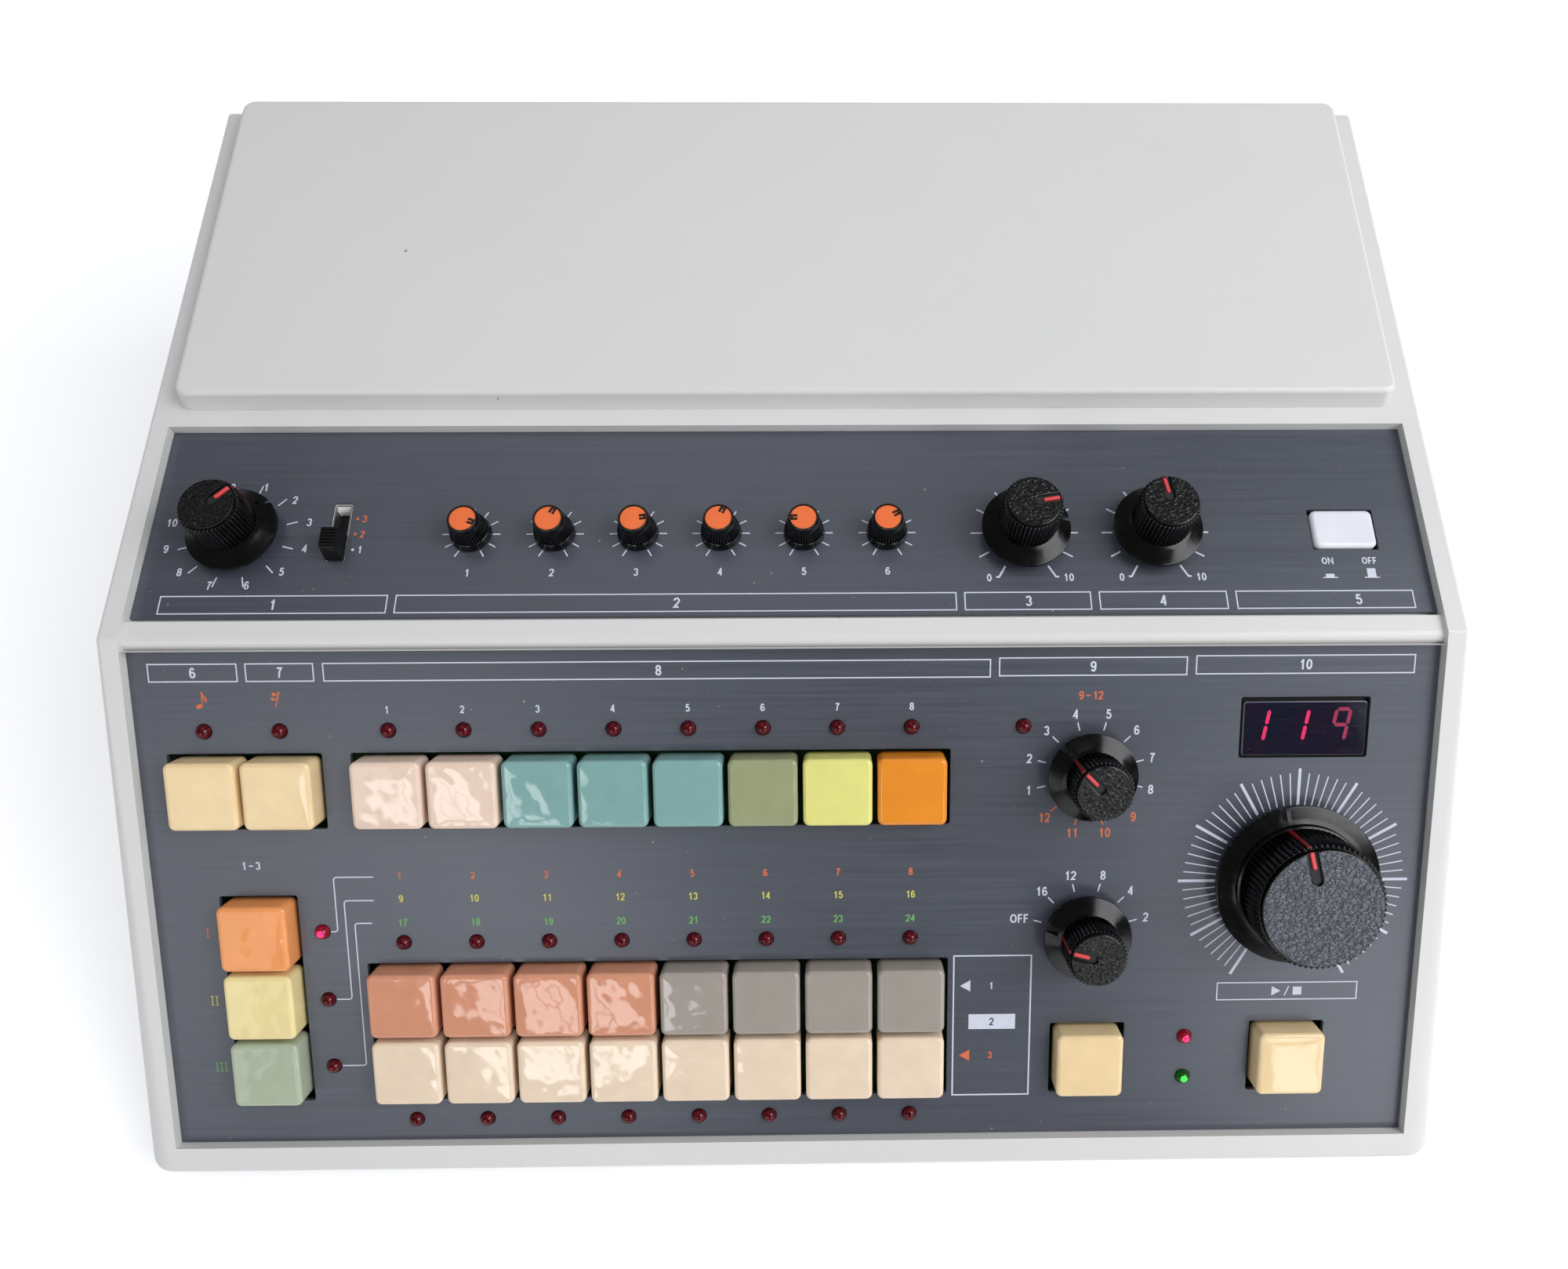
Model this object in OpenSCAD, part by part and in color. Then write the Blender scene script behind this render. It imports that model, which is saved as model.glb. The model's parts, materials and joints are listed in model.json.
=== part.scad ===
// Desktop rhythm unit: a wedge-shaped moulded case with a steep key desk in front, a flatter
// control deck above it and a raised cover behind.
// X runs to the right, Y to the back and Z up. The origin is on the table, under the case's middle.

/* [Case] */
// Width of both control panels
panel_w = 370; // [345:1:395]
// Width of the flat cheek beside the panels
cheek_w = 6.2; // [5:0.1:8]
// Outward lean of the side walls, degrees
side_draft = 1.7; // [0:0.1:2.5]
// Wall thickness of the moulded case
wall = 3; // [2.4:0.1:3.6]
// Radius along the case's upper edges
edge_r = 1.5; // [1:0.1:3]
// Radius of the two front corners, seen from above
corner_r = 6.8; // [4:0.1:9]
// Height of the front wall above the bottom case
front_h = 12.5; // [11:0.5:20]
// Clearance between pieces that drop into each other
fit_gap = 0.2; // [0.1:0.05:0.4]

/* [Desk and deck] */
// Slope of the key desk, degrees
desk_slope = 34.3; // [32:0.1:36]
// Length of the desk panel up its slope
desk_len = 150.8; // [150:0.1:158]
// Slope of the deck and of the cover, degrees
deck_slope = 2; // [0:0.1:4]
// Length of the deck panel, front to back
deck_len = 61.2; // [60:0.1:68]
// Depth of both panels below the rim
recess = 3.2; // [2.6:0.1:4]
// Width of the front lip below the desk panel
lip_len = 7.4; // [6:0.1:10]
// Distance from the desk panel's top edge to the deck panel's front edge
bridge_run = 8.8; // [8:0.1:11]
// Height of the deck panel above the desk panel's top edge
bridge_rise = 1.5; // [1:0.1:2.5]
// Height of the bar between the panels, above the deck panel
bar_h = 1.6; // [1:0.1:2.4]
// Width of the groove between the deck panel and that bar
bar_gap = 1.5; // [0.5:0.1:2]
// Radius of that bar's rounded nose
nose_r = 2.5; // [1.5:0.1:2.6]
// Thickness of the metal panels
panel_t = 1.5; // [1:0.1:2]
// Width of the ledge that carries the panels
ledge_w = 4; // [3:0.5:4.5]
// Thickness of that ledge
ledge_t = 2.3; // [1.5:0.1:2.5]
// Distance from the panels' undersides down to the circuit boards
board_drop = 11.5; // [11:0.1:12.5]

/* [Cover] */
// Width of the rear cover at its foot
cover_w = 366.2; // [350:0.2:372]
// Length of the rear cover
cover_len = 118; // [100:1:130]
// Height of the rear cover above the rim
cover_h = 6.9; // [5:0.1:10]
// Radius along the cover's upper edges
cover_r = 1.6; // [1:0.1:2]
// Flat strip between the deck panel and the cover
strip_len = 5.8; // [4:0.1:10]
// Rim behind the cover
back_lip = 1; // [0.5:0.1:4]

/* [Keys] */
// Distance from key to key
key_pitch = 21.2; // [20.9:0.1:21.3]
// Gap between neighbouring key caps
key_gap = 1.3; // [1:0.1:2.2]
// Height of the key tops above the panel
key_h = 6; // [5:0.1:8]
// Travel of a key
key_travel = 2.5; // [1.5:0.1:2.8]
// Radius of a key cap's edges
key_r = 1.7; // [1:0.1:2.2]
// Gap between the outer keys and their opening
key_margin = 1.3; // [1:0.1:1.6]
// Width of the square stem that guides a key
stem_w = 5; // [4:0.1:6]
// Free widths across the desk: beside the left pair, before the eight columns, the fill key and the
// start key, and to the right edge. They share out what a wider or narrower panel leaves.
desk_gaps = [8.25, 8, 30.8, 37.6, 25.75];
// Upper key row, from the desk panel's top edge
upper_row_v = 41.1; // [39:0.1:43]

/* [Knobs] */
// Diameter of the control shafts
shaft_d = 6; // [5:0.5:6]
// Radial clearance of a shaft in its bushing
shaft_fit = 0.1; // [0.05:0.01:0.1]
// Gap between a level knob's skirt and the panel
level_gap = 0.4; // [0.3:0.1:1]
// Gap between the skirt of a larger knob and the panel, where the control's nut is
skirt_gap = 3.6; // [3:0.1:4.4]
// Skirt diameter of the standard knobs
knob_skirt_d = 25.8; // [22:0.1:27]
// Fluted body diameter of the standard knobs
knob_body_d = 17; // [14:0.1:18]
// Height of the standard knobs
knob_h = 19; // [16:0.1:21]
// Skirt diameter of the small level knobs
level_skirt_d = 11.8; // [11:0.1:13]
// Top diameter of the small level knobs
level_top_d = 8.4; // [8:0.1:8.8]
// Height of the small level knobs
level_h = 9.8; // [9:0.1:12]
// Skirt diameter of the tempo knob
tempo_skirt_d = 48; // [42:0.5:50]
// Fluted body diameter of the tempo knob
tempo_body_d = 36.6; // [30:0.1:38]
// Height of the tempo knob
tempo_h = 22.2; // [18:0.1:25]
// Place of the program knob on the deck
program_at = [-159.5, 26.3];
// Place of the first level knob on the deck
level_at = [-92.3, 26.4];
// Distance between level knobs
level_pitch = 24.1; // [23:0.1:24.6]
// Place of the accent knob on the deck
accent_at = [68.4, 26.1];
// Place of the volume knob on the deck
volume_at = [106.7, 26.1];
// Distance of the fill selectors' middle to the right of the fill key's
selector_dx = -1.7; // [-3:0.1:3]
// Upper fill selector, from the desk panel's top edge
selector_v = 37.7; // [36:0.1:40]
// Lower fill selector, up from the lowest key row
selector_up = 39.8; // [37:0.1:44]
// Place of the tempo knob, to the right of the start key and down from the desk panel's top edge
tempo_at = [-1, 70.4];
// Length of the pointer slot in the standard knobs' tops
knob_slot = 6.9; // [5:0.1:7.4]
// Length of the pointer slot in the tempo knob's top
tempo_slot = 9.7; // [6:0.1:14]
// Number of ribs around the standard knobs
knob_ribs = 44; // [20:2:48]
// Number of ribs around the tempo knob
tempo_ribs = 70; // [40:2:76]
// Number of ribs around the small level knobs
level_ribs = 36; // [20:2:40]

/* [Switches and lamps] */
// Middle of the slide switch's slot on the deck
slide_at = [-130.5, 27.2];
// Width and length of that slot
slide_slot = [5.7, 18.9];
// Width and length of the slide switch's lever
slide_lever = [4.9, 8.5];
// Height of the lever above the panel
slide_h = 7.3; // [5:0.1:9]
// Middle of the power button on the deck
power_at = [162.1, 26.8];
// Width and depth of the power button
power_size = [18.5, 12.4];
// Height of the power button above the panel when it is in
power_in_h = 1; // [0.5:0.1:2]
// Gap between the power button and its opening
power_margin = 0.45; // [0.3:0.05:0.7]
// Travel of the power button
power_travel = 4; // [3:0.1:4.4]
// Diameter of the indicator lamps
lamp_d = 4.2; // [3.8:0.1:4.4]
// Distance from a key's middle to its lamp
lamp_off = 17.7; // [16.5:0.1:19]
// Distance from the desk panel's lower edge to the lowest lamps' middle
lamp_edge = 7; // [6.3:0.1:8]
// Distance from the upper fill selector to its lamp
fill_lamp_dx = 19.6; // [18:0.1:21]
// Place of the two running lamps on the way from the fill key to the start key
run_lamps_share = 0.49; // [0.45:0.01:0.55]
// Distance between the two running lamps
run_lamp_pitch = 13; // [8:0.5:16]
// Middle of the display window, to the right of the start key and down from the desk panel's top edge
display_at = [-0.6, 24.3];
// Width and height of the display window
display_size = [36.8, 17.5];

/* [Underside and back] */
// Thickness of the bottom case's floor
floor_t = 2; // [1.5:0.1:3]
// Height of the upstand inside the case's walls
upstand_h = 3; // [2:0.5:4]
// Height of the rubber feet
foot_h = 5; // [3:0.5:8]
// Diameter of the rubber feet
foot_d = 18; // [14:1:22]
// Distance from the case's edges to the feet's middles
foot_inset = 26; // [22:1:34]
// Diameter of the case screws
screw_d = 3; // [2.5:0.5:3]
// Depth of the connector bay in the back wall
bay_depth = 12; // [10:0.5:15]
// Width of the connector bay
bay_w = 190; // [180:1:220]
// Height of the connector bay
bay_h = 30; // [26:1:40]
// Middle of the connector bay, across
bay_x = -70; // [-80:1:-60]
// Distance between connectors
port_pitch = 32; // [28:1:34]
// Bore of the 6.35 mm jack sockets
jack_d = 6.5; // [6.4:0.1:6.8]
// Bore of the cord gland
gland_d = 7; // [6:0.5:8]

/* [Hidden] */

ivory = [0.83, 0.82, 0.79];
charcoal = [0.33, 0.35, 0.39];
black = [0.05, 0.05, 0.055];
tan = [0.92, 0.81, 0.61];
blush = [0.91, 0.80, 0.70];
teal = [0.49, 0.68, 0.64];
olive = [0.63, 0.66, 0.50];
lime = [0.90, 0.89, 0.50];
orange = [0.93, 0.60, 0.25];
straw = [0.92, 0.87, 0.58];
sage = [0.60, 0.68, 0.54];
clay = [0.80, 0.52, 0.37];
stone = [0.65, 0.62, 0.57];
cream = [0.92, 0.83, 0.72];

// Side view: unit vectors along and out of each slope, as [y, z]
function along(a) = [cos(a), sin(a)];
function out(a) = [-sin(a), cos(a)];
function cross2(p, q) = p[0]*q[1] - p[1]*q[0];
function meet(p, a, q, b) = p + along(a)*cross2(q - p, along(b))/cross2(along(a), along(b));

base_z = foot_h + floor_t;
deck_rel = bridge_run*along(deck_slope) + bridge_rise*out(deck_slope);
front_rel = recess*out(desk_slope) - (desk_len + lip_len)*along(desk_slope);
cover_y = deck_len + strip_len;
back_rel = deck_rel + recess*out(deck_slope) + (cover_y + cover_len + back_lip)*along(deck_slope);
case_d = back_rel[0] - front_rel[0];
desk_0 = [-case_d/2 - front_rel[0], base_z + front_h - front_rel[1]];
deck_0 = desk_0 + deck_rel;
front_0 = desk_0 + front_rel;
back_0 = desk_0 + back_rel;
ridge_0 = meet(front_0, desk_slope, back_0, deck_slope);
shell_t = recess + panel_t + ledge_t;
layout_w = 370;              // panel width that the places across the deck are given for
board_z = -panel_t - board_drop;
board_t = 1.6;
spacer_d = 6;                // diameter of the spacers between a panel and its board
clear_h = 20;                // height that is cut free above the panels, and through the ledges
flange_d = shaft_d + 2;
nut_d = flange_d + 5;        // over the corners of a control's nut
nut_h = 2;
pot_w = 16;                  // width of the deck controls' bodies
selector_w = 20;             // width of the fill selectors' bodies
tempo_pot_w = 24;            // width of the tempo control's body
boss_r = 4.4;                // radius of the bosses that take the case screws

key_w = key_pitch - key_gap;
key_under = -2.8;            // lower edge of a key cap at rest
key_foot = board_z + 0.9 + key_travel;  // lower end of its stem at rest
switch_top = -7;             // top of the key switches' bodies
power_under = power_travel + 1.2;  // depth of the power button's lower edge when it is in
power_top = -power_under - 0.4;    // top of the power switch's body
power_stem = 6;              // width of the power button's square stem
power_foot = board_z + 1;    // lower end of that stem when the button is in
key_colours = [blush, blush, teal, teal, teal, olive, lime, orange];
bank_colours = [orange, straw, sage];
gap_scale = (panel_w - field(2) - field(8) - 2*field(1))/(desk_gaps*[1, 1, 1, 1, 1]);
pair_x = -panel_w/2 + desk_gaps[0]*gap_scale + field(2)/2;
columns_x = pair_x + field(2)/2 + desk_gaps[1]*gap_scale + field(8)/2;
fill_x = columns_x + field(8)/2 + desk_gaps[2]*gap_scale + field(1)/2;
start_x = fill_x + desk_gaps[3]*gap_scale + field(1);
selector_x = fill_x + selector_dx;
low_v = desk_len - lamp_edge - lamp_off;  // lowest key row, from the desk panel's top edge
columns = [for (i = [0:7]) columns_x + (i - 3.5)*key_pitch];
pair = [for (s = [-0.5, 0.5]) pair_x + s*key_pitch];
rows = [low_v - key_pitch, low_v];
// Every key as [x, v], v being the distance down from the desk panel's top edge
keys = concat([for (x = pair) [x, upper_row_v]],
              [for (x = columns) [x, upper_row_v]],
              [for (i = [-2:0]) [pair_x, low_v + i*key_pitch]],
              [for (v = rows) for (x = columns) [x, v]],
              [for (x = [fill_x, start_x]) [x, low_v]]);
lamp_rows = [upper_row_v - lamp_off, rows[0] - lamp_off, rows[1] + lamp_off];
lamps = concat([for (x = pair) [x, lamp_rows[0]]],
               [for (v = lamp_rows) for (x = columns) [x, v]],
               [[selector_x - fill_lamp_dx, lamp_rows[0]]],
               [for (i = [-2:0]) [pair_x + lamp_off, low_v + i*key_pitch]],
               [for (s = [-0.5, 0.5])
                   [fill_x + (start_x - fill_x)*run_lamps_share, low_v + s*run_lamp_pitch]]);
level_spots = [for (i = [0:5]) deck_place([level_at[0] + i*level_pitch, level_at[1]])];
deck_knobs = concat([deck_place(program_at)], level_spots, [deck_place(accent_at), deck_place(volume_at)]);
desk_knobs = [[selector_x, selector_v], [selector_x, low_v - selector_up],
              [start_x + tempo_at[0], tempo_at[1]]];
slide_spot = deck_place(slide_at);
power_spot = deck_place(power_at);
display_spot = [start_x + display_at[0], display_at[1]];
slide_frame = 0.5;           // thickness of the frame inside the slide switch's slot
slide_stem = [slide_slot[0] - 2*fit_gap - 2*slide_frame - 0.7, 6];

main_board = [190, 110];
core_size = [66, 40, 55];    // laminated core of the transformer
winding_size = [44, 58, 35];
fixing_foot = 15;            // how far the transformer's feet reach out beside its core
// Connectors as [neck diameter, flange, flange height, body depth, bore]
jack = [jack_d + 2.9, 16, 3.4, 13, jack_d];
din_socket = [15, 20, 1.6, 12, 0];
cord_gland = [gland_d + 5, 16, 4, 8, gland_d];
port_kinds = [jack, jack, jack, din_socket, cord_gland];
screw_len = 10;
screw_head_h = 1;
screw_x = half_w(base_z) - wall - boss_r + 1;
screw_spots = [for (s = [-1, 1]) for (y = [front_0[0] + 38, 0, back_0[0] - 26]) [s*screw_x, y]];
foot_x = half_w(0) - foot_inset;
foot_y = case_d/2 - foot_inset;
main_board_at = [37 - screw_x, back_0[0] - main_board[1] - 43.5];
transformer_at = [screw_x - 87, back_0[0] - 75.5];
port_z = base_z + 38;
ports = [for (i = [0:4]) bay_x + (i - 2)*port_pitch];

// Width of the opening around n keys in a row
function field(n) = (n - 1)*key_pitch + key_w + 2*key_margin;

// A place on the deck, moved across with the panels' width
function deck_place(p) = [p[0]*panel_w/layout_w, p[1]];

// Half width of the case at height z
function half_w(z) = panel_w/2 + cheek_w + (ridge_0[1] - z)*tan(side_draft);

// Puts its children in the desk panel's frame: x, up the slope, out of the panel
module on_desk() translate([0, desk_0[0], desk_0[1]]) rotate([desk_slope, 0, 0]) children();
// The same for the deck panel, from its front edge
module on_deck() translate([0, deck_0[0], deck_0[1]]) rotate([deck_slope, 0, 0]) children();
// Places on the desk are given down from the panel's top edge
module desk_spot(p) on_desk() translate([p[0], -p[1], 0]) children();
module deck_spot(p) on_deck() translate([p[0], p[1], 0]) children();

// Extrudes a side-view outline across the case
module across(w) rotate([90, 0, 90]) translate([0, 0, -w/2]) linear_extrude(w) children();

module rounded(w, h, r) {
    square([w - 2*r, h], center = true);
    square([w, h - 2*r], center = true);
    for (sx = [-1, 1]) for (sy = [-1, 1])
        translate([sx*(w/2 - r), sy*(h/2 - r)]) circle(r, $fn = 16);
}

// A quarter turn around a corner's middle, in straight steps, starting at angle a
function arc(c, r, a, steps = 8) = [for (i = [0:steps])
    c + r*[cos(a + 90*i/steps), sin(a + 90*i/steps)]];

// Outline of a rounded rectangle in straight steps
function rounded_points(w, h, r, steps = 3) = [for (q = [0:3])
    each arc([(w/2 - r)*(q == 0 || q == 3 ? 1 : -1), (h/2 - r)*(q < 2 ? 1 : -1)], r, 90*q, steps)];

// A flat disc whose upper edge is rounded
module puck(r, e) rotate_extrude($fn = 32)
    polygon(concat([[0, 0]], [for (a = [0:15:90]) [r - e + e*cos(a), e*sin(a)]], [[0, e]]));

// Outer form of the moulded case
module case_form() {
    z_front = front_0[1] - edge_r*(1 - sin(desk_slope))/cos(desk_slope);
    mid = (desk_slope + deck_slope)/2;
    ridge_in = ridge_0 - edge_r/cos((desk_slope - deck_slope)/2)*out(mid);
    back_in = back_0 - edge_r*(out(deck_slope) + [1, 0])/(1 - sin(deck_slope));
    hull() for (s = [-1, 1]) {
        translate([s*(half_w(base_z) - corner_r), front_0[0] + corner_r, base_z])
            cylinder(r = corner_r, h = 0.5, $fn = 32);
        translate([s*(half_w(z_front) - corner_r), front_0[0] + corner_r, z_front])
            puck(corner_r, edge_r);
        translate([s*(half_w(ridge_0[1]) - edge_r), ridge_in[0], ridge_in[1]])
            sphere(edge_r, $fn = 24);
        translate([s*(half_w(back_0[1]) - edge_r), back_in[0], back_in[1]])
            sphere(edge_r, $fn = 24);
        translate([s*(half_w(base_z) - edge_r), back_0[0] - edge_r, base_z])
            cylinder(r = edge_r, h = 0.5, $fn = 24);
    }
}

// Room inside the moulded case
module case_room() {
    desk_in = front_0 - shell_t*out(desk_slope);
    deck_in = back_0 - shell_t*out(deck_slope);
    low = base_z - 1;
    y_front = front_0[0] + wall;
    y_back = back_0[0] - wall;
    z_at = function(y, p, a) p[1] + (y - p[0])*tan(a);
    inner = meet(desk_in, desk_slope, deck_in, deck_slope);
    w_low = half_w(low) - wall;
    w_top = half_w(back_0[1]) - wall;
    intersection() {
        across(2*case_d) polygon([[y_front, low], [y_front, z_at(y_front, desk_in, desk_slope)],
            inner, [y_back, z_at(y_back, deck_in, deck_slope)], [y_back, low]]);
        rotate([90, 0, 0]) linear_extrude(2*case_d, center = true)
            polygon([[-w_low, low], [w_low, low], [w_top, back_0[1]], [-w_top, back_0[1]]]);
    }
}

// Section of what is cut away above the bar between the panels
function bar_cut() = concat(
    [[0, -panel_t], [-bar_gap, -panel_t], [-bar_gap, bar_h]],
    [for (a = [90:15:180]) [-bridge_run + nose_r + nose_r*cos(a), bar_h - nose_r + nose_r*sin(a)]],
    [[-bridge_run, -bridge_rise],
     [-bridge_run, -bridge_rise] + 12*out(desk_slope - deck_slope), [0, 12]]);

module top_case() color(ivory) {
    difference() {
        case_form();
        case_room();
        // recesses for the panels, and the openings under them
        on_desk() translate([-panel_w/2, -desk_len, -panel_t]) cube([panel_w, desk_len, clear_h]);
        on_desk() translate([-panel_w/2 + ledge_w, -desk_len + ledge_w, -clear_h])
            cube([panel_w - 2*ledge_w, desk_len - 2*ledge_w, clear_h]);
        on_deck() translate([-panel_w/2, 0, -panel_t]) cube([panel_w, deck_len, clear_h]);
        on_deck() translate([-panel_w/2 + ledge_w, ledge_w, -clear_h])
            cube([panel_w - 2*ledge_w, deck_len - 2*ledge_w, clear_h]);
        on_deck() across(panel_w) polygon(bar_cut());
        // thinner wall under the cover
        on_deck() translate([-panel_w/2 + ledge_w, cover_y + 6, -14])
            cube([panel_w - 2*ledge_w, cover_len - 12, 14 + recess - wall]);
        // connector bay in the back wall
        translate([bay_x - bay_w/2, back_0[0] - bay_depth, port_z - bay_h/2])
            cube([bay_w, bay_depth + 1, bay_h]);
        port_holes();
    }
    // back of the connector bay
    difference() {
        translate([bay_x - bay_w/2 - wall, back_0[0] - bay_depth - wall, port_z - bay_h/2 - wall])
            cube([bay_w + 2*wall, bay_depth, bay_h + 2*wall]);
        translate([bay_x - bay_w/2, back_0[0] - bay_depth, port_z - bay_h/2])
            cube([bay_w, bay_depth + 1, bay_h]);
        port_holes();
    }
    // bosses for the bottom screws
    for (p = screw_spots) translate([p[0], p[1], base_z]) difference() {
        cylinder(r = boss_r, h = screw_len + 6, $fn = 24);
        translate([0, 0, -1]) cylinder(d = screw_d + 0.1, h = screw_len + 3, $fn = 24);
    }
}

// Holes for the connectors' necks in the bay's back
module port_holes() translate([0, back_0[0], port_z]) rotate([90, 0, 0]) for (i = [0:4])
    translate([ports[i], 0, 0])
        cylinder(d = port_kinds[i][0] + 2*fit_gap, h = bay_depth + wall + 6, $fn = 32);

module rear_cover() color(ivory) on_deck() translate([0, cover_y, recess]) {
    w = cover_w/2;
    difference() {
        hull() for (s = [-1, 1]) for (e = [0, 1]) {
            translate([s*(w - 4), 4 + e*(cover_len - 8), 0]) cylinder(r = 4, h = 0.4, $fn = 24);
            translate([s*(w - 5), 5 + e*(cover_len - 10), cover_h - cover_r]) puck(4, cover_r);
        }
        translate([-w + wall + 1, wall + 1, -1])
            cube([cover_w - 2*wall - 2, cover_len - 2*wall - 2, cover_h - wall + 1.6]);
    }
    // stiffening ribs under the cover
    for (i = [-2:2]) translate([i*cover_w/6 - 1, wall, 0])
        cube([2, cover_len - 2*wall, cover_h - wall + 1]);
}

module desk_panel() color(charcoal) on_desk() translate([0, 0, -panel_t]) linear_extrude(panel_t)
    difference() {
        translate([0, -desk_len/2])
            square([panel_w - 2*fit_gap, desk_len - 2*fit_gap], center = true);
        key_opening([pair_x, upper_row_v], 2, 1);
        key_opening([columns_x, upper_row_v], 8, 1);
        key_opening([columns_x, low_v - key_pitch/2], 8, 2);
        key_opening([pair_x, low_v - key_pitch], 1, 3);
        key_opening([fill_x, low_v], 1, 1);
        key_opening([start_x, low_v], 1, 1);
        translate([display_spot[0], -display_spot[1]])
            rounded(display_size[0] + 2*fit_gap, display_size[1] + 2*fit_gap, 0.8);
        for (p = lamps) translate([p[0], -p[1]]) circle(d = lamp_d + 2*fit_gap, $fn = 24);
        for (p = desk_knobs) translate([p[0], -p[1]]) circle(d = flange_d + 2*fit_gap, $fn = 24);
    }

module key_opening(p, across_n, down_n) translate([p[0], -p[1]])
    rounded(field(across_n), field(down_n), 0.8);

module deck_panel() color(charcoal) on_deck() translate([0, 0, -panel_t]) linear_extrude(panel_t)
    difference() {
        translate([0, deck_len/2]) square([panel_w - 2*fit_gap, deck_len - 2*fit_gap], center = true);
        for (p = deck_knobs) translate(p) circle(d = flange_d + 2*fit_gap, $fn = 24);
        translate(slide_spot) square(slide_slot, center = true);
        translate(power_spot)
            rounded(power_size[0] + 2*power_margin, power_size[1] + 2*power_margin, 0.5);
    }

// Outline of the case at the table, drawn in by inset
module bottom_outline(inset) {
    w = half_w(base_z) - inset;
    y_0 = front_0[0] + inset;
    y_1 = back_0[0] - inset;
    r = max(corner_r - inset, 1);
    r_back = max(edge_r - inset, 0.6);
    polygon(concat(
        arc([w - r_back, y_1 - r_back], r_back, 0), arc([-w + r_back, y_1 - r_back], r_back, 90),
        arc([-w + r, y_0 + r], r, 180), arc([w - r, y_0 + r], r, 270)));
}

module bottom_case() color(ivory) difference() {
    union() {
        translate([0, 0, foot_h]) linear_extrude(floor_t) bottom_outline(0);
        translate([0, 0, foot_h + 0.5]) linear_extrude(floor_t + upstand_h - 0.5) difference() {
            bottom_outline(wall + fit_gap + 0.2);
            bottom_outline(2*wall + fit_gap);
            // the upstand stops short of the screw bosses
            for (p = screw_spots) translate(p) circle(r = boss_r + 2*fit_gap, $fn = 24);
        }
    }
    for (p = screw_spots) translate([p[0], p[1], foot_h - 1]) {
        cylinder(d = screw_d + 0.1, h = floor_t + 2, $fn = 24);
        cylinder(d = 2*screw_d + 0.4, h = 2, $fn = 24);
    }
    // cooling slots in front of the transformer and under the main board
    for (i = [-4.5:4.5]) for (x = [main_board_at[0] + 40, transformer_at[0]])
        translate([x + i*8 - 1.5, transformer_at[1] - core_size[1]/2 - 34, foot_h - 1])
            cube([3, 34, floor_t + 2]);
}

module display_window() color([0.25, 0.03, 0.06]) desk_spot(display_spot) translate([0, 0, -panel_t - 0.4])
    linear_extrude(panel_t) rounded(display_size[0], display_size[1], 0.7);

module display_digits() color([0.12, 0.02, 0.03]) desk_spot(display_spot) {
    w = display_size[0] - 2;
    h = display_size[1] - 2;
    difference() {
        translate([-w/2, -h/2, board_z]) cube([w, h, board_drop - 0.4]);
        // the three digit wells
        for (i = [-1:1]) translate([i*w*0.29 - w*0.115, -h*0.4, board_z + board_drop - 1.2])
            cube([w*0.23, h*0.8, 2]);
    }
}

module indicator_lamps() color([0.5, 0.03, 0.08]) for (p = lamps) desk_spot(p)
    rotate_extrude($fn = 24) polygon(concat([[0, board_z], [lamp_d/2, board_z]],
        [for (a = [0:15:90]) [lamp_d/2*cos(a), 0.1 + lamp_d/2*sin(a)]]));

module key_switches() color([0.15, 0.15, 0.16]) for (p = keys) desk_spot(p) difference() {
    translate([-7, -7, board_z]) cube([14, 14, switch_top - board_z]);
    translate([-stem_w/2 - fit_gap, -stem_w/2 - fit_gap, board_z + 0.5])
        cube([stem_w + 2*fit_gap, stem_w + 2*fit_gap, 20]);
}

// Body and bushing of one rotary control, with the bore that the shaft turns in. The larger
// controls have a nut on the panel.
module rotary_body(w, nut = true) difference() {
    union() {
        translate([-w/2, -w/2, board_z]) cube([w, w, board_drop]);
        translate([0, 0, -panel_t - 1])
            cylinder(d = flange_d, h = panel_t + 1 + (nut ? nut_h + 0.5 : 0), $fn = 32);
        if (nut) cylinder(d = nut_d, h = nut_h, $fn = 6);
    }
    translate([0, 0, board_z + 1]) cylinder(d = shaft_d + 2*shaft_fit, h = 30, $fn = 32);
}

module rotary_controls() color([0.55, 0.56, 0.58]) {
    for (i = [0, 7, 8]) deck_spot(deck_knobs[i]) rotary_body(pot_w);
    for (p = level_spots) deck_spot(p) rotary_body(pot_w, nut = false);
    for (i = [0, 1]) desk_spot(desk_knobs[i]) rotary_body(selector_w);
    desk_spot(desk_knobs[2]) rotary_body(tempo_pot_w);
    // slide switch body, open above for its lever, with a frame that lines the slot
    deck_spot(slide_spot) difference() {
        union() {
            translate([-slide_slot[0]/2 - 3, -slide_slot[1]/2 - 4, board_z])
                cube([slide_slot[0] + 6, slide_slot[1] + 8, board_drop]);
            slot_block(slide_slot - 2*fit_gap*[1, 1], -panel_t - 0.5, -0.2);
        }
        slot_block(slide_slot - 2*(fit_gap + slide_frame)*[1, 1], -panel_t - 6, 1);
    }
    // power switch body, with the square guide of its button
    deck_spot(power_spot) difference() {
        translate([-10, -8, board_z]) cube([20, 16, power_top - board_z]);
        translate([-power_stem/2 - fit_gap, -power_stem/2 - fit_gap, board_z + 0.6])
            cube([power_stem + 2*fit_gap, power_stem + 2*fit_gap, 20]);
    }
}

// A block of the given width and length, from height z0 to z1
module slot_block(size, z0, z1) translate([-size[0]/2, -size[1]/2, z0]) cube([size[0], size[1], z1 - z0]);

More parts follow.
